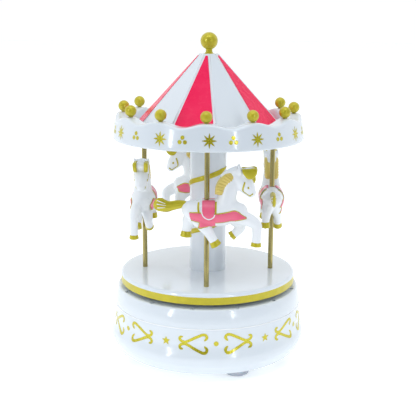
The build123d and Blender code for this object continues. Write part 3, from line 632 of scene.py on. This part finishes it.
def burst_outline(rays, outer, middle, inner):
    """Outline of a starburst: each ray is a narrow leaf, 17 degrees across at the middle radius."""
    step = 360.0 / rays
    first = 90.0 + step * np.arange(rays)
    turn = np.radians(first[:, None] + np.array([-step / 2, -8.5, 0.0, 8.5])).ravel()
    radius = np.tile([inner, middle, outer, middle], rays)
    return np.stack([radius * np.cos(turn), radius * np.sin(turn)], -1)


def disc_outline(radius, x=0.0, y=0.0, count=20):
    """Outline of a small round dot."""
    turn = np.linspace(0.0, 2.0 * math.pi, count, endpoint=False)
    return np.stack([x + radius * np.cos(turn), y + radius * np.sin(turn)], -1)


def curve(points, count):
    """Smooth line through points: each coordinate is a Catmull-Rom curve of the point number."""
    points = np.asarray(points, float)
    ends = np.concatenate([[2 * points[0] - points[1]], points, [2 * points[-1] - points[-2]]])
    place = np.linspace(0.0, len(points) - 1.0, count)
    k = np.minimum(place.astype(int), len(points) - 2)
    t = (place - k)[:, None]
    a, b, c, d = ends[k], ends[k + 1], ends[k + 2], ends[k + 3]
    square, cube = 2 * a - 5 * b + 4 * c - d, 3 * b - a - 3 * c + d
    return 0.5 * (2 * b + (c - a) * t + square * t ** 2 + cube * t ** 3)


# %% Prints of the valance
VALANCE_PRINT_Z = 122.4 * MM
STAR_TURNS = (0.5, 28.4, 61.5, 90.5, 120.5, 150.5, 180.5, 210.5, 240.5, 270.5, 297.5, 331.9)
DOT_TURNS = (13.9, 44.4, 75.5, 105.5, 135.5, 165.5, 195.5, 225.5, 255.5, 285.0, 314.2, 345.5)
starburst = burst_outline(8, 3.7 * MM, 2.5 * MM, 1.35 * MM)
motifs = []
for star_turn, dot_turn in zip(STAR_TURNS, DOT_TURNS):
    motifs.append(foil_shape(wall_radius, star_turn, VALANCE_PRINT_Z, starburst))
    for x, y in ((0.0, 1.3), (-1.3, -0.85), (1.3, -0.85)):
        dot = disc_outline(1.0 * MM, x * MM, y * MM)
        motifs.append(foil_shape(wall_radius, dot_turn, VALANCE_PRINT_Z, dot))
valance_print = belongs(solid("valance_print", joined(motifs), gold_foil), "carousel", "gold_paint")
sharp_by_angle(valance_print, 40)
print("motifs on the valance:", len(motifs))

# %% [markdown]
# The drum has a dot every sixty degrees and a five-pointed star halfway between two dots. On
# each side of a dot a heart lies on its side with its lobes towards the dot. A heart is two
# mirrored lines: each starts in a hook at the lobe, runs to the point where it touches its
# mirror image, and ends in a small curl back towards the heart.

# %% Outside of the drum
DRUM_SKIN_R = 49.6 * MM
drum_mesh = nodes["base_drum"].data
drum_points = np.empty(len(drum_mesh.vertices) * 3)
drum_mesh.vertices.foreach_get("co", drum_points)
drum_points = drum_points.reshape(-1, 3)
drum_r = np.hypot(drum_points[:, 0], drum_points[:, 1])
outside = drum_r > DRUM_SKIN_R
drum_z = np.unique(np.round(drum_points[outside, 2], 6))
drum_profile = np.array([drum_r[outside & (np.abs(drum_points[:, 2] - z) < 2e-6)].max() for z in drum_z])


def drum_radius(height):
    """Outside radius of the drum at a height, read from the drum itself."""
    return np.interp(height, drum_z, drum_profile)


# %% Prints of the drum
DRUM_PRINT_Z = 21.5 * MM
DOT_TURN = 5.2
STROKE = 1.4 * MM
heart_half = np.array([
    (5.9, 1.4), (4.9, 2.5), (4.6, 3.4), (5.4, 4.5), (7.0, 4.5), (9.3, 3.5), (11.5, 2.4),
    (13.7, 1.2), (15.5, 0.5), (17.2, 0.8), (18.2, 1.8), (18.0, 2.8), (16.6, 3.2),
]) * MM
drum_star = star_outline(5, 2.35 * MM, 1.05 * MM)
motifs = []
for step in range(6):
    azimuth = DOT_TURN + 60.0 * step
    motifs.append(foil_shape(drum_radius, azimuth, DRUM_PRINT_Z, disc_outline(1.25 * MM)))
    motifs.append(foil_shape(drum_radius, azimuth + 30.6, DRUM_PRINT_Z, drum_star))
    for side in (1.0, -1.0):
        for mirror in (1.0, -1.0):
            path = curve(heart_half * [side, mirror], 70)
            motifs.append(foil_line(drum_radius, azimuth, DRUM_PRINT_Z, path, STROKE))
drum_print = belongs(solid("drum_print", joined(motifs), gold_foil), "base", "gold_paint")
sharp_by_angle(drum_print, 40)
print("motifs on the drum:", len(motifs))

# %% [markdown]
# ## The lip above the drum
#
# Where the top cover meets the printed drum a thin rounded lip stands out and catches the
# light. It is a ring of round section at the seam, in a brighter white that is a painted highlight.

# %% Seam lip
SEAM_LIP_R = 0.26 * MM
lip_turn = np.arange(0.0, 360.0, 1.5)[:, None]
lip_angle = np.radians(np.arange(0.0, 360.0, 30.0))[None, :]
lip_r = drum_radius(SEAM_HIGH_Z - 0.6 * MM) - 0.06 * MM + SEAM_LIP_R * np.cos(lip_angle)
lip_z = SEAM_HIGH_Z + 0.1 * MM + SEAM_LIP_R * np.sin(lip_angle)
lip_part = closed_ring(spot(lip_turn, lip_r, lip_z))
belongs(solid("seam_lip", lip_part, white_painted_highlight), "base", "white_plastic")
print("seam lip at", round(SEAM_HIGH_Z / MM, 1), "mm")

# %% [markdown]
# ## The ribbon on the column
#
# A flat gold ribbon climbs round the column. Its height grows with the azimuth, and a small
# sine takes the evenness out of the climb, as a wound ribbon has it. It narrows to a point
# at its end.

# %% Ribbon
RIBBON_FIRST, RIBBON_LAST = 116.0, 792.0
RIBBON_LOW_Z = low("column_ribbon", 2) + 1.5 * MM
RIBBON_PITCH = 27.0 * MM
RIBBON_HALF = 1.35 * MM
COLUMN_R = high("centre_column", 0)
ribbon_turn = np.linspace(RIBBON_FIRST, RIBBON_LAST, 560)
gone, left = ribbon_turn - RIBBON_FIRST, RIBBON_LAST - ribbon_turn
ribbon_wave = (0.2 - 1.2 * np.sin(np.radians(ribbon_turn))) * MM * np.clip(gone / 90.0, 0.0, 1.0)
ribbon_z = RIBBON_LOW_Z + RIBBON_PITCH * gone / 360.0 + ribbon_wave
ribbon_end = np.minimum(np.clip(left / 26.0, 0.04, 1.0), np.clip(gone / 12.0, 0.1, 1.0))
section_r = COLUMN_R + np.array([-0.25, 0.30, 0.55, 0.55, 0.30, -0.25]) * MM
section_z = np.array([-1.0, -1.0, -0.72, 0.72, 1.0, 1.0]) * RIBBON_HALF
ribbon_height = ribbon_z[:, None] + section_z[None, :] * ribbon_end[:, None]
ribbon_rings = spot(ribbon_turn[:, None], section_r[None, :], ribbon_height)
ribbon_part = closed_stack(ribbon_rings, ribbon_rings[0].mean(0), ribbon_rings[-1].mean(0))
ribbon = belongs(solid("ribbon_band", ribbon_part, gold_paint), "carousel", "gold_paint", "column_ribbon")
sharp_by_angle(ribbon, 35)
print("ribbon turns:", round((RIBBON_LAST - RIBBON_FIRST) / 360.0, 2))

# %% [markdown]
# ## The horses
#
# A horse is modelled once, facing +X with the pole at the origin and heights above the
# platform floor. Its trunk, neck, head, ears and legs are tubes with oval sections along
# bent lines. A fine voxel skin melts the tubes into one body, and smoothing softens the
# places where they meet, as a moulded figure has no sharp inside corners.

# %% Oval tubes
def oval_tube(stations, rows=14, cols=20):
    """Tube through stations (x, y, z, half height, half width) in millimetres.

    A smooth path runs through them. Across it lies an ellipse, and both ends are rounded.
    """
    path = curve(np.asarray(stations, float) * MM, rows)
    centre, tall, wide = path[:, :3], path[:, 3], path[:, 4]
    along = np.gradient(centre, axis=0)
    along /= np.linalg.norm(along, axis=1)[:, None]
    across = np.stack([-along[:, 2], np.zeros(rows), along[:, 0]], -1)
    across /= np.linalg.norm(across, axis=1)[:, None]
    reach = np.array([0.55, 0.9])
    shrink = np.sqrt(1.0 - reach ** 2)
    start = centre[0] - (reach[::-1, None] * tall[0]) * along[0]
    end = centre[-1] + (reach[:, None] * tall[-1]) * along[-1]
    centre = np.concatenate([start, centre, end])
    tall = np.concatenate([tall[0] * shrink[::-1], tall, tall[-1] * shrink])
    wide = np.concatenate([wide[0] * shrink[::-1], wide, wide[-1] * shrink])
    across = np.concatenate([across[:1], across[:1], across, across[-1:], across[-1:]])
    angle = np.linspace(0.0, 2.0 * math.pi, cols, endpoint=False)
    rings = (centre[:, None, :] + (tall[:, None] * np.cos(angle))[:, :, None] * across[:, None, :]
             + (wide[:, None] * np.sin(angle))[:, :, None] * np.array([0.0, 1.0, 0.0]))
    return closed_stack(rings, path[0, :3] - path[0, 3] * along[0], path[-1, :3] + path[-1, 3] * along[-1])


# %% The body of the horse
trunk = [(-7.8, 0, 39.8, 4.8, 5.4), (-4.5, 0, 38.9, 6.2, 6.1), (0.5, 0, 38.4, 6.7, 6.3),
         (6.0, 0, 38.4, 6.8, 6.4), (11.5, 0, 39.2, 6.4, 6.2), (15.8, 0, 39.0, 4.6, 5.2)]
neck = [(9.6, 0, 41.0, 6.6, 5.6), (10.0, 0, 46.0, 4.7, 4.6), (11.0, 0, 50.5, 4.3, 4.1),
        (12.8, 0, 55.0, 4.2, 3.5), (15.0, 0, 57.8, 3.9, 3.5)]
head = [(14.4, 0, 57.0, 3.8, 3.8), (17.6, 0, 54.0, 4.4, 3.8), (20.2, 0, 50.8, 3.8, 3.2),
        (21.6, 0, 48.8, 2.8, 2.6)]
forelock = [(18.0, 0, 57.6, 2.7, 3.5), (20.0, 0, 58.8, 2.4, 3.6), (22.4, 0, 59.6, 1.7, 3.5)]
crest = [(7.6, 0, 57.0, 1.0, 2.4), (10.5, 0, 58.9, 1.3, 2.8), (14.5, 0, 60.2, 1.8, 3.4)]
dock = [(-9.5, 0, 42.3, 1.9, 1.3), (-14.0, 0, 42.3, 1.9, 0.85), (-19.0, 0, 41.5, 2.2, 0.8),
        (-23.0, 0, 42.0, 2.9, 0.8)]
near_front = [(13.0, -1.8, 37.5, 4.4, 3.6), (19.0, -2.7, 36.2, 3.6, 2.9), (24.2, -3.2, 33.4, 2.9, 2.4),
              (24.9, -3.4, 29.6, 2.4, 2.1), (24.7, -3.4, 25.4, 2.3, 2.1), (24.6, -3.4, 23.8, 2.35, 2.1)]
far_front = [(13.0, 1.8, 36.5, 4.2, 3.6), (16.0, 2.8, 32.6, 3.4, 2.7), (16.6, 3.3, 29.9, 2.7, 2.3),
             (14.6, 3.5, 27.4, 2.25, 2.1), (13.4, 3.5, 26.4, 2.1, 2.0)]
near_hind = [(-4.5, -1.4, 37.0, 5.0, 3.8), (-1.6, -2.2, 32.8, 3.7, 2.9), (0.9, -3.1, 29.2, 2.7, 2.3),
             (3.0, -3.5, 25.8, 2.3, 2.1), (3.8, -3.6, 24.4, 2.3, 2.1)]
far_hind = [(-5.8, 1.6, 37.8, 5.0, 3.8), (-8.6, 2.6, 34.0, 3.7, 3.0), (-9.6, 3.2, 31.0, 2.8, 2.4),
            (-10.2, 3.5, 28.8, 2.4, 2.1), (-10.3, 3.5, 27.6, 2.4, 2.1)]
tubes = [oval_tube(trunk, 24, 28), oval_tube(neck, 20, 24), oval_tube(head, 16, 24),
         oval_tube(forelock, 10, 22), oval_tube(crest, 12, 18), oval_tube(dock, 16, 20)]
for side in (-1.0, 1.0):
    ear = [(15.2, 2.7 * side, 58.8, 1.9, 1.4), (15.5, 3.2 * side, 60.6, 1.3, 0.9),
           (15.8, 3.5 * side, 61.9, 0.55, 0.45)]
    tubes.append(oval_tube(ear, 8, 14))
for leg in (near_front, far_front, near_hind, far_hind):
    tubes.append(oval_tube(leg, 18, 18))

blank = solid("horse_blank", joined(tubes), white_gloss)
melt = blank.modifiers.new("melt", "REMESH")
melt.mode = "VOXEL"
melt.voxel_size = 0.38 * MM
soften = blank.modifiers.new("soften", "SMOOTH")
soften.factor = 0.5
soften.iterations = 7


def baked(made):
    """The mesh of an object with its modifiers worked in."""
    view = bpy.context.evaluated_depsgraph_get()
    return bpy.data.meshes.new_from_object(made.evaluated_get(view))


horse_mesh = baked(blank)
blank.modifiers.clear()
blank.data = horse_mesh
print("horse body faces:", len(horse_mesh.polygons))

# %% [markdown]
# The harness, saddle cloth and bridle are paint, so they lie on the body like a thin skin.
# Each painted field is a small grid between a lower and an upper line. It is laid on the
# body by moving every point to the nearest place on it and is then given a little
# thickness. Both flanks carry the same paint.

# %% Painted fields on the body
TRUNK_Z = 38.4
TRUNK_HALF_TALL = 7.3
TRUNK_HALF_WIDE = 7.0


def beside(height, flat_at):
    """Sideways start of a painted point: the trunk's own oval, or a flat distance for the head."""
    if flat_at:
        return np.full_like(height, flat_at)
    share = (height - TRUNK_Z) / TRUNK_HALF_TALL
    return TRUNK_HALF_WIDE * np.sqrt(np.clip(1.0 - share ** 2, 0.02, 1.0))


def laid_grid(lower, upper, side, flat_at, rows):
    """Grid of points between two (x, z) lines on one flank of the horse, faced outward."""
    cols = len(lower)
    share = np.linspace(0.0, 1.0, rows)[:, None, None]
    flat = lower[None] + (upper - lower)[None] * share
    sideways = side * beside(flat[..., 1], flat_at)
    points = np.stack([flat[..., 0], sideways, flat[..., 1]], -1).reshape(-1, 3) * MM
    r, c = np.meshgrid(np.arange(rows - 1), np.arange(cols - 1), indexing="ij")
    corners = [r * cols + c, r * cols + c + 1, (r + 1) * cols + c + 1, (r + 1) * cols + c]
    if side > 0:
        corners = corners[::-1]
    return points, np.stack(corners, -1).reshape(-1, 4).tolist()


def field(low_line, high_line, side, flat_at=0.0, cols=40, rows=9):
    """A painted field between a lower and an upper line of (x, z) points."""
    return laid_grid(curve(low_line, cols), curve(high_line, cols), side, flat_at, rows)


def stroke(line, width, side, flat_at=0.0, cols=60):
    """A painted line of constant width along a bent path of (x, z) points."""
    path = curve(line, cols)
    along = np.gradient(path, axis=0)
    along /= np.linalg.norm(along, axis=1)[:, None]
    across = np.stack([-along[:, 1], along[:, 0]], -1) * width / 2
    return laid_grid(path - across, path + across, side, flat_at, 4)


def laid_on(name, fields, lift, thick, finish_used):
    """Fields moved to the nearest place on the horse, lifted, and given a thickness outward."""
    points, faces = joined(fields)
    mesh = bpy.data.meshes.new(name)
    mesh.from_pydata(points.tolist(), [], faces)
    mesh.shade_smooth()
    made = bpy.data.objects.new(name, mesh)
    bpy.context.collection.objects.link(made)
    cling = made.modifiers.new("cling", "SHRINKWRAP")
    cling.target = blank
    cling.wrap_method = "NEAREST_SURFACEPOINT"
    cling.wrap_mode = "ABOVE_SURFACE"
    cling.offset = lift * MM
    skin = made.modifiers.new("skin", "SOLIDIFY")
    skin.thickness = thick * MM
    skin.offset = 1.0
    mesh_baked = baked(made)
    made.modifiers.clear()
    made.data = mesh_baked
    made.data.materials.clear()
    made.data.materials.append(finish_used)
    return made


# %% Harness, saddle cloth and bridle
band_low = [(-9.1, 34.9), (-5.0, 34.8), (0.5, 34.4), (5.0, 34.4), (10.0, 34.8), (15.0, 35.6), (19.6, 37.2)]
band_high = [(-9.1, 39.2), (-5.0, 39.4), (0.5, 39.0), (5.0, 38.9), (10.0, 39.7), (14.5, 40.5), (19.7, 37.4)]
cloth_low = [(-3.4, 32.2), (0.5, 32.1), (4.3, 32.2)]
cloth_high = [(-3.4, 36.0), (0.5, 36.0), (4.3, 36.0)]
flap_low = [(-2.2, 40.5), (-1.5, 38.0), (1.0, 36.6), (3.2, 37.8), (4.0, 40.5)]
flap_high = [(-2.2, 45.3), (-1.0, 45.4), (1.0, 45.4), (3.0, 45.4), (4.0, 45.3)]
bridle = [(18.6, 54.6), (17.7, 51.6), (17.1, 49.2), (17.5, 48.5), (19.4, 46.9), (20.5, 46.3),
          (21.6, 47.0), (23.4, 48.4)]
eye_low = [(20.0, 51.1), (20.5, 50.9), (21.0, 51.1)]
eye_high = [(20.0, 52.0), (20.5, 52.2), (21.0, 52.0)]
piping = [(-2.6, 44.8), (-2.5, 40.6), (-1.5, 37.7), (1.0, 36.2), (3.2, 37.2), (4.1, 38.8)]
strap_back = [(-4.1, 44.8), (-4.2, 42.5), (-3.9, 39.4)]
strap_front = [(4.5, 44.9), (4.5, 42.0), (4.4, 38.6)]
CHEEK = 4.2


def moved(line, x, z):
    """The same line moved by x and z millimetres."""
    return [(a + x, b + z) for a, b in line]


gold_fields, pink_fields, trim_fields = [], [], []
for side in (-1.0, 1.0):
    gold_fields.append(field(moved(band_low, 0.1, -0.5), moved(band_high, 0.1, 0.6), side))
    gold_fields.append(field(moved(cloth_low, -0.5, -0.4), moved(cloth_high, -0.5, 0.0), side, 0.0, 20))
    gold_fields.append(stroke(strap_back, 1.0, side, 0.0, 20))
    gold_fields.append(stroke(strap_front, 0.9, side, 0.0, 20))
    gold_fields.append(stroke(bridle, 0.8, side, CHEEK, 50))
    gold_fields.append(field(eye_low, eye_high, side, CHEEK, 8, 5))
    pink_fields.append(field(band_low, band_high, side))
    pink_fields.append(field(cloth_low, cloth_high, side, 0.0, 20))
    pink_fields.append(field(flap_low, flap_high, side, 0.0, 26, 14))
    trim_fields.append(stroke(piping, 0.55, side, 0.0, 40))
gold_paint_fields = laid_on("harness_gold", gold_fields, 0.02, 0.16, gold_paint)
pink_paint_fields = laid_on("harness_pink", pink_fields, 0.16, 0.18, pink_harness)
trim_paint_fields = laid_on("harness_trim", trim_fields, 0.34, 0.14, white_gloss)
print("painted fields:", len(gold_fields) + len(pink_fields) + len(trim_fields))

# %% [markdown]
# Mane, forelock, tail and hooves are gold and stand a little proud of the body. The mane is
# a row of nine rounded locks on each side of the neck, which fan out from its front edge.
# The forelock is a half-round plate beside the forehead. The tail is a thin upright plate
# with grooves that spread towards its tip.

# %% Reliefs and grooves
def relief(low_line, high_line, side, root, inside, height, ribs, cols, rows):
    """Rounded relief between two (x, z) lines: its height is an arch across times ribs along.

    The face stands at y = side * (inside + height * arch). A flat back at y = side * root
    closes it.
    """
    lower, upper = curve(low_line, cols), curve(high_line, cols)
    share = np.linspace(0.0, 1.0, rows)
    flat = lower[None] + (upper - lower)[None] * share[:, None, None]
    arch = np.sqrt(np.clip(1.0 - (2.0 * share - 1.0) ** 2, 0.0, 1.0))[:, None] ** 0.6
    place = np.linspace(0.0, 1.0, cols)
    ends = np.clip(np.minimum(place, 1.0 - place) * 9.0, 0.0, 1.0) ** 0.5
    rib = 1.0 if ribs == 0 else 0.62 + 0.38 * np.abs(np.sin(math.pi * ribs * place)) ** 0.7
    stand = inside + height * arch * (ends * rib)[None, :]
    face = np.stack([flat[..., 0], side * stand, flat[..., 1]], -1)
    back = np.stack([flat[..., 0], side * np.full_like(stand, root), flat[..., 1]], -1)
    loop = np.concatenate([face, back[::-1]])
    rings = loop.transpose(1, 0, 2) * MM
    return closed_stack(rings, rings[0].mean(0), rings[-1].mean(0))


def grooved_plate(stations, rows, cols, count, depth):
    """Oval tube with grooves, deeper towards its tip: radius times 1 + depth cos(count angle)."""
    points, faces = oval_tube(stations, rows, cols)
    body_points = points[:-2].reshape(-1, cols, 3)
    middle = body_points.mean(1, keepdims=True)
    angle = np.linspace(0.0, 2.0 * math.pi, cols, endpoint=False)
    grow = np.linspace(0.25, 1.0, len(body_points))[:, None]
    ripple = 1.0 + depth * grow * np.cos(count * angle)[None, :]
    body_points = middle + (body_points - middle) * ripple[:, :, None]
    return np.concatenate([body_points.reshape(-1, 3), points[-2:]]), faces


# %% Mane, forelock, tail and hooves
mane_low = [(8.4, 47.4), (8.7, 50.6), (10.4, 53.2), (12.8, 55.0), (13.3, 57.3)]
mane_high = [(3.9, 48.2), (4.3, 51.6), (6.0, 55.0), (8.6, 58.0), (11.4, 59.0)]
lock_low = [(17.0, 60.7), (17.9, 58.0), (20.0, 56.0), (22.6, 56.2), (24.2, 58.2), (24.6, 60.4)]
lock_high = [(17.0, 60.9), (18.4, 60.9), (20.0, 60.9), (21.6, 61.1), (23.2, 61.3), (24.6, 60.8)]
tail = [(-10.4, 0, 42.3, 1.85, 1.6), (-14.0, 0, 42.3, 2.15, 1.25), (-18.6, 0, 41.4, 2.45, 1.15),
        (-21.6, 0, 41.7, 3.0, 1.15), (-23.2, 0, 42.2, 3.3, 1.05)]


def hoof(leg, length):
    """Gold end of a leg: an oval that flares with its length and closes nearly flat."""
    end, before = np.array(leg[-1], float), np.array(leg[-2], float)
    along = (end[:3] - before[:3]) / np.linalg.norm(end[:3] - before[:3])
    top, tip = end[:3] + along * 0.1, end[:3] + along * length
    wide = end[3:] * (1.0 + 0.06 * length)
    middle, rim = top + along * 0.5 * length, tip - along * 0.1
    stations = [(*top, *(end[3:] + 0.12)), (*middle, *wide), (*rim, *wide), (*tip, 0.6, 0.6)]
    return oval_tube(stations, 12, 20)


def hair_line(near, far, side):
    """A thin raised line on the tail between two (x, z) points, highest in the middle."""
    x, z = (near[0] + far[0]) / 2, (near[1] + far[1]) / 2
    stations = [(near[0], 1.0 * side, near[1], 0.10, 0.28), (x, 1.12 * side, z, 0.20, 0.30),
                (far[0], 0.85 * side, far[1], 0.26, 0.30)]
    return oval_tube(stations, 12, 10)


mane_solids, gold_solids, hair_lines = [], [], []
for side in (-1.0, 1.0):
    mane_solids.append(relief(mane_low, mane_high, side, -0.2, 2.6, 1.3, 9, 110, 15))
    gold_solids.append(relief(lock_low, lock_high, side, 1.9, 3.1, 0.75, 0, 30, 13))
    hair_lines.append(hair_line((-20.6, 42.9), (-24.3, 44.3), side))
    hair_lines.append(hair_line((-20.2, 41.9), (-24.6, 42.5), side))
    hair_lines.append(hair_line((-20.6, 40.9), (-24.3, 40.6), side))
gold_solids.append(grooved_plate(tail, 26, 64, 10, 0.07))
for leg, length in ((near_front, 1.7), (far_front, 1.6), (near_hind, 2.4), (far_hind, 2.6)):
    gold_solids.append(hoof(leg, length))
hair_details = solid("horse_hair_lines", joined(hair_lines), white_gloss)
mane_details = solid("horse_mane_details", joined(mane_solids), gold_mane)
gold_details = solid("horse_gold_details", joined(gold_solids), gold_paint)
print("gold solids on a horse:", len(gold_solids) + len(mane_solids))

# %% [markdown]
# The four horses come from one mould. Each is the same set of pieces, turned about the
# carousel's axis and set on its pole. The turn is worked into the points, so every piece
# stays at the origin and its finish turns with it.

# %% Four horses on their poles
def mesh_arrays(source):
    """Points and faces of a mesh object as (points, faces)."""
    mesh = source.data
    points = np.empty(len(mesh.vertices) * 3)
    mesh.vertices.foreach_get("co", points)
    return points.reshape(-1, 3), [list(polygon.vertices) for polygon in mesh.polygons]


def turned_to(points, azimuth):
    """Points turned about the carousel's axis by an azimuth and moved to the pole's place."""
    turn = math.radians(azimuth)
    x = points[:, 0] * math.cos(turn) - points[:, 1] * math.sin(turn)
    y = points[:, 0] * math.sin(turn) + points[:, 1] * math.cos(turn)
    return np.stack([x, y, points[:, 2]], -1) + spot(azimuth, POLE_RING_R, FLOOR_Z)


horse_parts = [
    ("body", mesh_arrays(blank), horse_white_painted_light, "horse_plastic"),
    ("gold", joined([mesh_arrays(gold_details), mesh_arrays(gold_paint_fields)]), gold_paint, "gold_paint"),
    ("mane", mesh_arrays(mane_details), gold_mane, "gold_paint"),
    ("hair", mesh_arrays(hair_details), white_painted_highlight, "white_plastic"),
    ("pink", mesh_arrays(pink_paint_fields), pink_harness, "pink_paint"),
    ("trim", mesh_arrays(trim_paint_fields), white_painted_highlight, "horse_plastic"),
]
for template in (blank, gold_details, mane_details, hair_details, gold_paint_fields,
                 pink_paint_fields, trim_paint_fields):
    bpy.data.objects.remove(template)
for number in range(1, 5):
    azimuth = POLE_TURN + 90.0 * (number - 1)
    for name, (points, faces), finish_used, slot in horse_parts:
        made = solid(f"horse_{number}_{name}", (turned_to(points, azimuth), faces), finish_used)
        replaced = [f"horse_{number}"] if name == "body" else []
        belongs(made, "carousel", slot, *replaced)
    print("horse", number, "at azimuth", azimuth)
